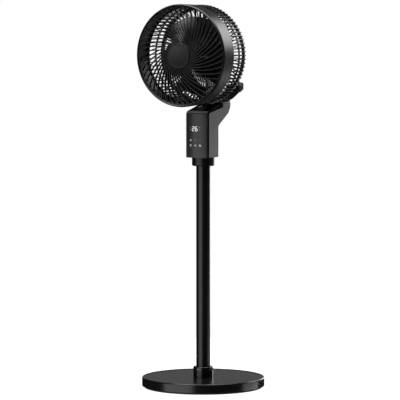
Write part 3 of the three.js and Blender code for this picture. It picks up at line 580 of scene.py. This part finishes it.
def rim_z(y):
    return RIM_FRONT_Z + (y - RIM_FRONT_Y) * RIM_SLOPE


def arc_front(x, back):
    """How far forward the bowed front is at x, less back."""
    return ARC_Y - math.sqrt((PANEL_ARC - back) ** 2 - x ** 2)


def cover_body(inward, chamfer):
    """The front cover as a solid, drawn in from its outside by inward."""
    half = BOX_X - inward
    front = RIM_FRONT_Y + 2
    outline = [
        (front, BOX_Z + inward, 0), (FRONT_Y - 0.3, BOX_Z + inward, 0),
        (FRONT_Y - 0.3, STRIP_FRONT + 0.3, 0), (COVER_END + inward, STRIP_BACK + 0.3, 0),
        (COVER_END + inward, rim_z(COVER_END) - inward, 0), (front, rim_z(front) - inward, 0)]
    bm = pushed(outline, -half, half, steps=16)
    if chamfer:
        rim = [edge for edge in bm.edges
               if all(abs(abs(v.co.x) - half * MM) < 0.01 * MM
                      and v.co.z > (rim_z(v.co.y / MM) - 1) * MM for v in edge.verts)]
        bmesh.ops.bevel(bm, geom=rim, offset=chamfer * MM, segments=1, profile=0.5,
                        affect="EDGES", material=-1, clamp_overlap=True)
    for vert in bm.verts:
        if vert.co.y < (front + 0.2) * MM:
            above = vert.co.z / MM - LIP_Z
            lean = max(0.0, above) * LIP_IN / LIP_HEIGHT
            vert.co.y = arc_front(vert.co.x / MM, PANEL_ROOM + inward + lean) * MM
    return bm


def scoop(grow):
    """The stretched ball that hollows the top, larger by grow all round."""
    bm = bmesh.new()
    bmesh.ops.create_uvsphere(bm, u_segments=96, v_segments=48, radius=1)
    middle_y = (RIM_FRONT_Y + NECK_FRONT) / 2
    half_length = (NECK_FRONT - RIM_FRONT_Y) / 2
    size = Vector((BOX_X - SCOOP_RIM + grow, half_length - SCOOP_RIM + grow, SCOOP_DEPTH + grow))
    place = Matrix.Translation(Vector((0, middle_y, rim_z(middle_y))) * MM)
    lean = Matrix.Rotation(math.atan(RIM_SLOPE), 4, "X")
    bmesh.ops.transform(bm, matrix=place @ lean @ Matrix.Diagonal((*(size * MM), 1)),
                        verts=bm.verts)
    return bm


hollow = carve(cover_body(WALL, chamfer=0), scoop(2.0))
bm = carve(carve(cover_body(0, chamfer=4.2), hollow), scoop(0))
piece("front_shell", bm, gloss_black, "stand", ["front_cover"], outward=False)

# %% [markdown]
# The touch panel is a bent sheet of smoked plastic. Its face is part of a large cylinder, and
# its top lip leans back. A closed cross-section spun through part of a turn gives both.

# %% Touch panel
PANEL_HALF = BOX_X - 0.2
PANEL_T = 2.0
arc_middle = Vector((0, ARC_Y * MM, 0))
half_turn = math.asin(PANEL_HALF / PANEL_ARC)


def bowed(section, half):
    """Spins a closed (radius, z) section, in mm, by the angle half to each side of the front."""
    bm = bmesh.new()
    start = Matrix.Rotation(-half, 4, "Z")
    corners = [bm.verts.new(arc_middle + start @ Vector((0, -r * MM, z * MM))) for r, z in section]
    face = bm.faces.new(corners)
    bmesh.ops.spin(bm, geom=[face], cent=arc_middle, axis=(0, 0, 1), angle=2 * half, steps=40)
    bmesh.ops.remove_doubles(bm, verts=bm.verts, dist=0.001 * MM)
    bmesh.ops.recalc_face_normals(bm, faces=bm.faces)
    return bm


section = [(PANEL_ARC - PANEL_T, BOX_Z), (PANEL_ARC, BOX_Z), (PANEL_ARC, LIP_Z),
           (PANEL_ARC - LIP_IN, RIM_FRONT_Z), (PANEL_ARC - LIP_IN - PANEL_T, RIM_FRONT_Z),
           (PANEL_ARC - PANEL_T, LIP_Z)]
bm = bowed(section, half_turn)
sharp_edges = [edge for edge in bm.edges if edge.is_manifold and edge.calc_face_angle() > 0.4]
bmesh.ops.bevel(bm, geom=sharp_edges, offset=0.5 * MM, segments=3, profile=0.5, affect="EDGES",
                material=-1, clamp_overlap=True)
piece("smoked_panel", bm, panel_smoke, "stand", ["touch_panel"])

# %% [markdown]
# The sloping lip at the panel's top carries a thin pale skin, much paler than the panel: a painted
# highlight where the lip catches light. It lies on the slope and is spun in the same way.

# %% Lip with painted highlight
SKIN = 0.15
highlight_low, highlight_high = PANEL_ARC - 0.5, PANEL_ARC - LIP_IN + 0.3
section = [(highlight_low, LIP_Z + 0.6), (highlight_low + SKIN, LIP_Z + 0.6),
           (highlight_high + SKIN, RIM_FRONT_Z - 0.5), (highlight_high, RIM_FRONT_Z - 0.5)]
# The pale skin on the lip is a painted highlight.
piece("lip_painted_highlight_skin", bowed(section, half_turn - math.radians(0.6)), lip_painted_highlight, "stand")

# %% [markdown]
# The display is two seven-bar numerals with small unlit signs beside them, and six key marks in
# two rows are below it. Each mark is a flat shape with a hair of thickness, drawn on a plane and then
# moved on to the bowed panel, so it follows the bow.

# %% Marks on the panel
DISPLAY_Z = BOX_Z + 72
MARK_PROUD = 0.06


def bar(bm, x0, z0, x1, z1, width):
    """A straight mark with pointed ends from (x0, z0) to (x1, z1)."""
    start, end = Vector((x0, z0)), Vector((x1, z1))
    along = (end - start).normalized()
    across = Vector((-along.y, along.x)) * width / 2
    shape = [start, start + along * width / 2 + across, end - along * width / 2 + across, end,
             end - along * width / 2 - across, start + along * width / 2 - across]
    bm.faces.new([bm.verts.new((p.x * MM, 0, p.y * MM)) for p in shape])


def ring_mark(bm, x, z, radius, width, start=0.0, turn=2 * math.pi):
    """A round line, or part of one, about (x, z)."""
    centre = Vector((x, 0, z)) * MM
    first = Matrix.Rotation(start, 3, "Y")
    ends = [bm.verts.new(centre + first @ Vector((0, 0, r * MM)))
            for r in (radius - width / 2, radius + width / 2)]
    edge = bm.edges.new(ends)
    bmesh.ops.spin(bm, geom=[*ends, edge], cent=centre, axis=(0, 1, 0), angle=turn, steps=24,
                   use_merge=turn >= 2 * math.pi)


def on_panel(name, bm, material):
    """Bends flat marks on to the panel's bow and gives them a hair of thickness."""
    bmesh.ops.remove_doubles(bm, verts=bm.verts, dist=0.001 * MM)
    long_edges = [edge for edge in bm.edges if edge.calc_length() > 2.5 * MM]
    bmesh.ops.subdivide_edges(bm, edges=long_edges, cuts=3, use_grid_fill=True)
    bmesh.ops.triangulate(bm, faces=bm.faces)
    grown = bmesh.ops.extrude_face_region(bm, geom=bm.faces[:])
    front = {item for item in grown["geom"] if isinstance(item, bmesh.types.BMVert)}
    for vert in bm.verts:
        proud = MARK_PROUD if vert in front else -MARK_PROUD
        vert.co.y = (arc_front(vert.co.x / MM, 0) - proud) * MM
    piece(name, bm, material, "stand")


SEGMENTS = {"a": (0, 2, 1, 2), "b": (1, 2, 1, 1), "c": (1, 1, 1, 0), "d": (0, 0, 1, 0),
            "e": (0, 1, 0, 0), "f": (0, 2, 0, 1), "g": (0, 1, 1, 1)}
DIGIT_W, DIGIT_H, BAR_W = 5.6, 5.2, 1.25


def digit(lit_bm, unlit_bm, left, lit):
    """Draws one seven-bar numeral, its lit bars in one mesh and the rest in another."""
    for bar_name, (u0, v0, u1, v1) in SEGMENTS.items():
        gap = 0.25
        x0, x1 = left + u0 * DIGIT_W, left + u1 * DIGIT_W
        z0, z1 = DISPLAY_Z + (v0 - 1) * DIGIT_H, DISPLAY_Z + (v1 - 1) * DIGIT_H
        dx = gap if u0 != u1 else 0
        dz = -gap if v0 != v1 else 0
        bar(lit_bm if bar_name in lit else unlit_bm, x0 + dx, z0 + dz, x1 - dx, z1 - dz, BAR_W)


lit_bm, unlit_bm = bmesh.new(), bmesh.new()
digit(lit_bm, unlit_bm, -8.8, "abged")
digit(lit_bm, unlit_bm, 0.2, "acdefg")
bar(unlit_bm, -14.2, DISPLAY_Z + 5, -14.2, DISPLAY_Z + 0.4, BAR_W)
bar(unlit_bm, -14.2, DISPLAY_Z - 0.4, -14.2, DISPLAY_Z - 5, BAR_W)
ring_mark(unlit_bm, 12.2, DISPLAY_Z + 3.8, 1.4, 0.8)
bar(unlit_bm, 12.2, DISPLAY_Z - 0.6, 12.2, DISPLAY_Z - 4.8, 1.2)
on_panel("numerals", lit_bm, lit_mark)
on_panel("unlit_bars", unlit_bm, unlit_mark)

# %% [markdown]
# The key marks are plain signs of the kind that many appliances share: three lines for moving
# air, a clock, an upright line, on and off, four crossed bars, and a ring with a bar across it.

# %% Key marks
KEY_X = (-13.6, 0.0, 13.0)
KEY_Z = (DISPLAY_Z - 28.3, DISPLAY_Z - 41.2)
bright_bm, dim_bm = bmesh.new(), bmesh.new()
for line in (-1.6, 0, 1.6):
    bar(bright_bm, KEY_X[0] - 2.8, KEY_Z[0] + line, KEY_X[0] + 2.8, KEY_Z[0] + line, 0.8)
ring_mark(dim_bm, KEY_X[1], KEY_Z[0], 2.2, 0.6)
bar(dim_bm, KEY_X[1], KEY_Z[0], KEY_X[1], KEY_Z[0] + 1.7, 0.6)
bar(dim_bm, KEY_X[2], KEY_Z[0] + 2.4, KEY_X[2], KEY_Z[0] - 2.4, 0.8)
ring_mark(bright_bm, KEY_X[0], KEY_Z[1] + 0.4, 2.3, 0.9, 0.6, 2 * math.pi - 1.2)
bar(bright_bm, KEY_X[0], KEY_Z[1] + 3.0, KEY_X[0], KEY_Z[1] + 0.2, 0.8)
for turn in (0, math.pi / 2, math.pi, 3 * math.pi / 2):
    dx, dz = math.cos(turn), math.sin(turn)
    bar(bright_bm, KEY_X[1] + dx * 0.5, KEY_Z[1] + dz * 0.5, KEY_X[1] + dx * 3, KEY_Z[1] + dz * 3, 1.7)
ring_mark(bright_bm, KEY_X[2], KEY_Z[1], 2.1, 1.0)
bar(bright_bm, KEY_X[2] - 1.2, KEY_Z[1], KEY_X[2] + 1.2, KEY_Z[1], 1.0)
on_panel("key_marks", bright_bm, half_mark)
on_panel("unlit_keys", dim_bm, unlit_mark)

# %% [markdown]
# ## The head
# The shroud is a plain band. It widens a little towards the front and ends in a round lip that
# holds the front grille.

# %% Shroud
band_lo, band_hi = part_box("shroud")
HEAD_Z = (band_lo.z + band_hi.z) / 2 / MM
HEAD_R = band_hi.x / MM
BAND_FRONT = band_lo.y / MM
BAND_BACK = band_hi.y / MM
BAND_IN_R = HEAD_R - 4.5
head_middle = (0, 0, HEAD_Z * MM)
piece("head_band", spun([
    (BAND_IN_R, BAND_FRONT + 9, 0.3), (BAND_IN_R, BAND_FRONT + 2, 0.5),
    (HEAD_R - 2.4, BAND_FRONT, 0.9), (HEAD_R, BAND_FRONT + 3.2, 1.6),
    (HEAD_R, BAND_FRONT + 8, 2), (HEAD_R - 1.5, BAND_BACK, 0.4), (HEAD_R - 4, BAND_BACK, 0.3),
    (HEAD_R - 4, BAND_FRONT + 11, 0.3)], "Y", head_middle, steps=240),
    satin_black, "head", ["shroud"])

# %% [markdown]
# The front grille is one moulding: a ring, a plate in the middle and 48 ribs between them. A rib
# leans over by the same angle all the way out, as a logarithmic spiral does. One rib is a grid
# laid along the spiral. It gets its thickness and soft edges, and is then spun as copies.

# %% Front grille
GRILLE_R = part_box("front_grille")[1].x / MM
HUB_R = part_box("hub_cap")[1].x / MM
RING_Y = BAND_FRONT + 3
DOME = 6.5
RIB_COUNT = 48
RIB_TURN = math.radians(45)
RIB_DEEP = 7.5
RIB_T = 1.6


def dome_y(r):
    return RING_Y - DOME * (1 - (r / GRILLE_R) ** 2)


def rib(first_turn):
    bm = bmesh.new()
    rows, depth_rows = 22, 3
    bmesh.ops.create_grid(bm, x_segments=rows, y_segments=depth_rows, size=0.5)
    inner, outer = HUB_R - 1, GRILLE_R - 0.3
    for vert in bm.verts:
        share, deep = vert.co.x + 0.5, vert.co.y + 0.5
        r = inner + share * (outer - inner)
        turn = first_turn + RIB_TURN * math.log(r / inner) / math.log(outer / inner)
        vert.co = Vector((r * math.cos(turn) * MM, (dome_y(r) + 0.2 + deep * RIB_DEEP) * MM,
                          (HEAD_Z + r * math.sin(turn)) * MM))
    bmesh.ops.recalc_face_normals(bm, faces=bm.faces)
    bmesh.ops.solidify(bm, geom=bm.faces[:], thickness=RIB_T * MM)
    long_edges = [edge for edge in bm.edges if edge.is_manifold and edge.calc_face_angle() > 1.0]
    bmesh.ops.bevel(bm, geom=long_edges, offset=0.5 * MM, segments=2, profile=0.5,
                    affect="EDGES", material=-1, clamp_overlap=True)
    return bm


bm = rib(math.pi / RIB_COUNT)
copy_round(bm, head_middle, RIB_COUNT)
plate_front = dome_y(HUB_R) - 0.5
for ring in (
        [(GRILLE_R - 1.8, RING_Y + 1.5, 0.5), (GRILLE_R, RING_Y + 0.5, 0.5),
         (GRILLE_R, RING_Y + 6, 0.5), (GRILLE_R - 1.8, RING_Y + 6, 0.5)],
        [(0, plate_front, 0), (HUB_R + 0.5, plate_front, 0.6), (HUB_R + 0.5, plate_front + 6, 1.0),
         (0, plate_front + 6, 0)]):
    absorb(bm, spun(ring, "Y", head_middle, steps=192, closed=ring[0][0] > 0))
# The ribs take the paler black, a painted sheen on their edges.
piece("spiral_grille", bm, rib_black_painted_sheen, "head", ["front_grille"])

# %% [markdown]
# The cap in the middle is a shallow dish, deepest round its middle, with a soft rim. It is left
# plain.

# %% Hub cap
cap_lo, cap_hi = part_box("hub_cap")
cap_front, cap_back = cap_lo.y / MM, cap_hi.y / MM
piece("plain_cap", spun([
    (0, cap_back - 0.4, 0), (12, cap_back - 0.6, 8), (HUB_R - 3, cap_front + 0.1, 2.0),
    (HUB_R - 0.6, cap_front + 0.3, 1.0), (HUB_R, cap_back, 0.3), (0, cap_back, 0)],
    "Y", head_middle, closed=False), cap_black, "head", ["hub_cap"])

# %% [markdown]
# The rear grille is a cage of thin fins that stand on edge all round the drum and turn the
# corner on to the back. One fin is drawn in side view with a round corner, pushed to its
# thickness and spun as copies. Four rings and the motor's plate tie the fins together, and the
# second ring breaks the slots in the drum into two rows.

# %% Rear grille
cage_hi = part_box("rear_grille")[1]
CAGE_R = cage_hi.x / MM
CAGE_BACK = cage_hi.y / MM
FIN_COUNT = 78
FIN_T = 2.2
DRUM_R = HEAD_R - 5
PLATE_R = 50.0
MIDDLE_RING_Y = -29.0
BACK_RING_R = 80.0


def in_head(y, r):
    return (y, HEAD_Z + r)


outline = [(*in_head(BAND_BACK + 1, DRUM_R - 3), 0), (*in_head(-8, DRUM_R - 3), 6),
           (*in_head(CAGE_BACK - 5, DRUM_R - 14), 4), (*in_head(CAGE_BACK - 5, PLATE_R - 2), 0),
           (*in_head(CAGE_BACK, PLATE_R - 2), 0), (*in_head(CAGE_BACK, CAGE_R), 15),
           (*in_head(BAND_BACK + 1, CAGE_R), 0)]
bm = pushed(outline, -FIN_T / 2, FIN_T / 2, segments=8)
rim_edges = [edge for edge in bm.edges if edge.is_manifold and edge.calc_face_angle() > 1.3
             and abs(edge.verts[0].co.x - edge.verts[1].co.x) < 0.01 * MM]
bmesh.ops.bevel(bm, geom=rim_edges, offset=0.5 * MM, segments=2, profile=0.5, affect="EDGES",
                material=-1, clamp_overlap=True)
bmesh.ops.rotate(bm, verts=bm.verts, cent=head_middle,
                 matrix=Matrix.Rotation(math.pi / FIN_COUNT, 3, "Y"))
copy_round(bm, head_middle, FIN_COUNT)
BOSS_FRONT = CAGE_BACK - 24
for ring in (
        [(DRUM_R - 2, BAND_BACK + 0.3, 0.3), (CAGE_R, BAND_BACK + 0.3, 0.3),
         (CAGE_R, BAND_BACK + 3, 0.6), (DRUM_R - 2, BAND_BACK + 3, 0.6)],
        [(DRUM_R - 2.5, MIDDLE_RING_Y - 2, 0.6), (DRUM_R + 1, MIDDLE_RING_Y - 2, 0.6),
         (DRUM_R + 1, MIDDLE_RING_Y + 2, 0.6), (DRUM_R - 2.5, MIDDLE_RING_Y + 2, 0.6)],
        [(DRUM_R - 8, CAGE_BACK - 15, 0.6), (DRUM_R + 0.5, CAGE_BACK - 15, 0.6),
         (DRUM_R + 0.5, CAGE_BACK - 10, 4), (DRUM_R - 3, CAGE_BACK - 7, 2),
         (DRUM_R - 8, CAGE_BACK - 7, 0.6)],
        [(BACK_RING_R, CAGE_BACK - 5, 0.5), (BACK_RING_R + 3, CAGE_BACK - 5, 0.5),
         (BACK_RING_R + 3, CAGE_BACK - 1.5, 0.5), (BACK_RING_R, CAGE_BACK - 1.5, 0.5)],
        [(5, CAGE_BACK - 1, 0), (5, BOSS_FRONT + 7.3, 0), (9.3, BOSS_FRONT + 7.3, 0),
         (9.3, BOSS_FRONT, 0.3), (13, BOSS_FRONT, 0.6), (13, CAGE_BACK - 7, 1.5),
         (PLATE_R, CAGE_BACK - 7, 0.8), (PLATE_R, CAGE_BACK - 1, 0.8)]):
    absorb(bm, spun(ring, "Y", head_middle, steps=FIN_COUNT * 2))
piece("rear_cage", bm, grille_black, "head", ["rear_grille"])

# %% [markdown]
# The fan wheel has five broad blades on a drum-shaped hub. A blade is a grid wrapped round the
# hub: steep at its root, flatter and swept at its tip. It is given an even thickness, and four
# copies are spun from it.

# %% Impeller
IMPELLER_HUB = 34.0
BLADE_CLEAR = 24.0
BLADE_R = BAND_IN_R - BLADE_CLEAR
HUB_FRONT, HUB_BACK = -80.0, -17.0
BLADE_FRONT, BLADE_BACK = -74.0, -21.0
BLADE_COUNT = 5
BLADE_PHASE = 33.0
BLADE_SPAN, TIP_SPAN = 66.0, 64.0
BLADE_SWEEP = 20.0
BLADE_RAKE = 12.0
BLADE_TAPER = 0.35


def blade():
    bm = bmesh.new()
    bmesh.ops.create_grid(bm, x_segments=20, y_segments=14, size=0.5)
    for vert in bm.verts:
        out, along = vert.co.x + 0.5, vert.co.y
        reach = 1 - 0.05 * (2 * along) ** 4 * out
        r = IMPELLER_HUB - 2 + out * (BLADE_R - IMPELLER_HUB + 2) * reach
        span = BLADE_SPAN + (TIP_SPAN - BLADE_SPAN) * out
        turn = math.radians(span * along + BLADE_PHASE + BLADE_SWEEP * out * out)
        depth = (BLADE_BACK - BLADE_FRONT) * (1 - BLADE_TAPER * out)
        y = (BLADE_FRONT + BLADE_BACK) / 2 - depth * along + BLADE_RAKE * out
        vert.co = Vector((r * math.cos(turn) * MM, y * MM, (HEAD_Z + r * math.sin(turn)) * MM))
    bmesh.ops.recalc_face_normals(bm, faces=bm.faces)
    bmesh.ops.solidify(bm, geom=bm.faces[:], thickness=2.0 * MM)
    edges = [edge for edge in bm.edges if edge.is_manifold and edge.calc_face_angle() > 1.0]
    bmesh.ops.bevel(bm, geom=edges, offset=0.7 * MM, segments=2, profile=0.5, affect="EDGES",
                    material=-1, clamp_overlap=True)
    return bm


bm = blade()
copy_round(bm, head_middle, BLADE_COUNT)
absorb(bm, spun([
    (4.3, HUB_FRONT + 12, 0), (12, HUB_FRONT + 12, 0.5), (12, HUB_FRONT, 0.8),
    (IMPELLER_HUB - 6, HUB_FRONT, 2), (IMPELLER_HUB, HUB_FRONT + 6, 3), (IMPELLER_HUB, HUB_BACK, 0.6),
    (IMPELLER_HUB - 2.5, HUB_BACK, 0.6), (IMPELLER_HUB - 2.5, HUB_FRONT + 16, 1.5),
    (10, HUB_FRONT + 16, 1), (10, HUB_BACK - 4, 0.5), (4.3, HUB_BACK - 4, 0)], "Y", head_middle))
piece("fan_wheel", bm, grille_black, "impeller", ["impeller"])

# %% [markdown]
# The motor's cover is a cup on the back of the cage. Warm air leaves through a ring of slots in
# its end, each cut right through the wall.

# %% Motor cover
motor_lo, motor_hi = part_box("motor_cover")
MOTOR_R = 44.0
MOTOR_END = motor_hi.y / MM
motor_front = motor_lo.y / MM
bm = spun([
    (MOTOR_R - 2.2, motor_front, 0.2), (MOTOR_R, motor_front, 0.3), (MOTOR_R, MOTOR_END, 6),
    (12.5, MOTOR_END, 0.6), (11.5, MOTOR_END - 0.8, 0.3), (0, MOTOR_END - 0.8, 0),
    (0, MOTOR_END - 2.4, 0), (MOTOR_R - 2.2, MOTOR_END - 2.2, 4)], "Y", head_middle, closed=False)
bmesh.ops.remove_doubles(bm, verts=bm.verts, dist=0.002 * MM)
bmesh.ops.holes_fill(bm, edges=bm.edges, sides=0)
SLOT_COUNT = 24
SLOT_W, SLOT_LENGTH, SLOT_R = 2.4, 15.0, 24.0
slots = bmesh.new()
bmesh.ops.create_cube(slots, size=1)
bmesh.ops.scale(slots, verts=slots.verts, vec=(SLOT_W * MM, 8 * MM, SLOT_LENGTH * MM))
upright = [edge for edge in slots.edges
           if abs(edge.verts[0].co.y - edge.verts[1].co.y) > 4 * MM]
bmesh.ops.bevel(slots, geom=upright, offset=1.1 * MM, segments=4, profile=0.5, affect="EDGES",
                material=-1)
bmesh.ops.translate(slots, verts=slots.verts, vec=(0, MOTOR_END * MM, (HEAD_Z + SLOT_R) * MM))
copy_round(slots, head_middle, SLOT_COUNT)
piece("motor_cup", carve(bm, slots), satin_black, "head", ["motor_cover"],
      outward=False)

# %% [markdown]
# ## Neck, yoke and hinges
# The yoke with its cover and caps, the brackets, the power inlet and the toothed sector keep
# the frame's form and take soft edges.

# %% Softened parts
for node, body, width in (("yoke", "yoke", 1.6), ("yoke_cover", "yoke", 0.4),
                          ("pivot_cap_left", "yoke", 0.5), ("pivot_cap_right", "yoke", 0.5),
                          ("pivot_bracket_left", "head", 1.0), ("pivot_bracket_right", "head", 1.0),
                          ("power_inlet", "stand", 0.4)):
    softened(node, satin_black, body, width)
softened("tilt_sector", dyed_nylon, "head", 0.3, 2)

# %% [markdown]
# A pan-head screw has a domed head with a cross pressed into it. The four that hold the box are
# seen from behind.

# %% Housing screws
def box_screw(node):
    low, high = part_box(node)
    x, z = (low.x + high.x) / 2 / MM, (low.z + high.z) / 2 / MM
    end, tip = high.y / MM, low.y / MM
    bm = spun([(0, tip, 0), (1.3, tip, 0.3), (1.3, end - 1.9, 0), (2.7, end - 1.9, 0.3),
               (2.7, end - 0.5, 0.7), (0, end, 0)], "Y", (x * MM, 0, z * MM), closed=False, steps=48)
    for wide, tall in ((3.2, 0.7), (0.7, 3.2)):
        cross = block((x - wide / 2, end - 1.1, z - tall / 2), (x + wide / 2, end + 1, z + tall / 2))
        bm = carve(bm, cross)
    piece("pan_screw_" + node[-1], bm, bright_steel, "stand", [node], outward=False)


for number in range(1, 5):
    box_screw(f"housing_screw_{number}")

# %% [markdown]
# Parts that are hidden, or whose form is right already, keep the frame's mesh and take a finish.

# %% Finishes of the frame's own parts
KEPT = {
    foot_rubber: ["foot_ring"],
    satin_black: ["base_bottom", "pole_socket", "buzzer"],
    bright_steel: ["base_weight", "base_bolt", "capacitor", "swivel_motor", "swivel_spigot",
                   "swivel_clip", "motor_bearing_front", "motor_bearing_rear", "motor_screw_1",
                   "motor_screw_2", "motor_screw_3", "impeller_nut", "motor_rotor"],
    pin_steel: ["tilt_motor", "pivot_pin_left", "pivot_pin_right", "motor_shaft"],
    copper_wire: ["power_coil", "motor_stator"],
    gear_brass: ["swivel_pinion", "tilt_pinion"],
    natural_nylon: ["pole_foot_plug", "pole_top_plug", "display_module", "swivel_bush",
                    "swivel_gear"],
    board_green: ["control_board", "power_board"],
    panel_smoke: ["ir_receiver"],
}
for material, names in KEPT.items():
    for name in names:
        for material_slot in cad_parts[name].material_slots:
            material_slot.material = material
print(sum(len(names) for names in KEPT.values()), "frame parts keep their form")

# %% [markdown]
# ## Room and light
# The fan stands on a plain white floor. The floor glows a little, so that it stays as white as
# the room behind it, and is left out of the reflections, which would light the black parts.

# %% Floor
floor_bm = bmesh.new()
bmesh.ops.create_circle(floor_bm, cap_ends=True, segments=128, radius=1.0)
floor_finish = Finish("white_floor", Base_Color=grey(0.25), Roughness=0.9,
                      Emission_Color=grey(1.0), Emission_Strength=0.93)
floor = new_object("floor", floor_bm, floor_finish.material)
floor.visible_glossy = False
floor.visible_shadow = False

# %% [markdown]
# Only the camera sees the room as white. To the fan it is almost dark, so that the lamps alone
# draw the black shapes.

# %% World
ROOM_GLOW = 0.012
SEEN_WHITE = 1.0
world = bpy.data.worlds.new("room")
bpy.context.scene.world = world
world.use_nodes = True
world_nodes = world.node_tree.nodes
world_links = world.node_tree.links
seen = world_nodes["Background"]
seen.inputs["Color"].default_value = (1, 1, 1, 1)
path = world_nodes.new("ShaderNodeLightPath")
mix = world_nodes.new("ShaderNodeMapRange")
mix.inputs["To Min"].default_value = ROOM_GLOW
mix.inputs["To Max"].default_value = SEEN_WHITE
world_links.new(path.outputs["Is Camera Ray"], mix.inputs["Value"])
world_links.new(mix.outputs["Result"], seen.inputs["Strength"])
bpy.context.scene.view_settings.view_transform = "Standard"

# %% [markdown]
# A tall soft box in front, to the left, draws the grey stripe down the pole. Two stand behind on
# the right: a high one for the patch on the head's band, and one for the line at the pole's
# edge. A high one faces the panel's lip, whose pale line is a painted highlight, a low one lights
# the rim of the base, and a wide panel behind the fan and one overhead give the rest a faint sheen.

# %% Lamps
def lamp(name, side, low, high, distance, wide, brightness, lean=0.0):
    """An upright soft box side degrees to the right of the camera, seen from the fan."""
    turn = AZIMUTH + math.radians(side)
    place = Vector((math.sin(turn) * distance, -math.cos(turn) * distance, (low + high) / 2))
    light = bpy.data.lights.new(name, "AREA")
    light.shape = "RECTANGLE"
    light.size = wide
    light.size_y = high - low
    light.energy = brightness * math.pi * wide * (high - low)
    made = bpy.data.objects.new(name, light)
    bpy.context.collection.objects.link(made)
    made.matrix_world = look_from(place, Vector((0, 0, place.z - lean)))
    made.visible_camera = False
    return made


lamp("soft_box_left", -48, -0.75, 0.72, 2.4, 2.6, 1.7)
lamp("band_box", 132, 1.15, 2.25, 2.3, 1.5, 5.5)
lamp("rim_box", 150, -0.1, 1.0, 2.3, 1.0, 3.2)
lamp("lip_box", -60, 2.5, 3.5, 1.5, 1.6, 4.0, lean=2.4)
lamp("low_box", 100, -0.60, -0.26, 2.2, 1.7, 2.6)
lamp("back_panel", 180, 0.25, 0.95, 3.0, 2.6, 0.20)
overhead = lamp("overhead", 0, 0, 3.4, 0.0, 3.4, 4.0)
overhead.matrix_world = Matrix.Translation((0, 0, 3.2))
print("lamps set")
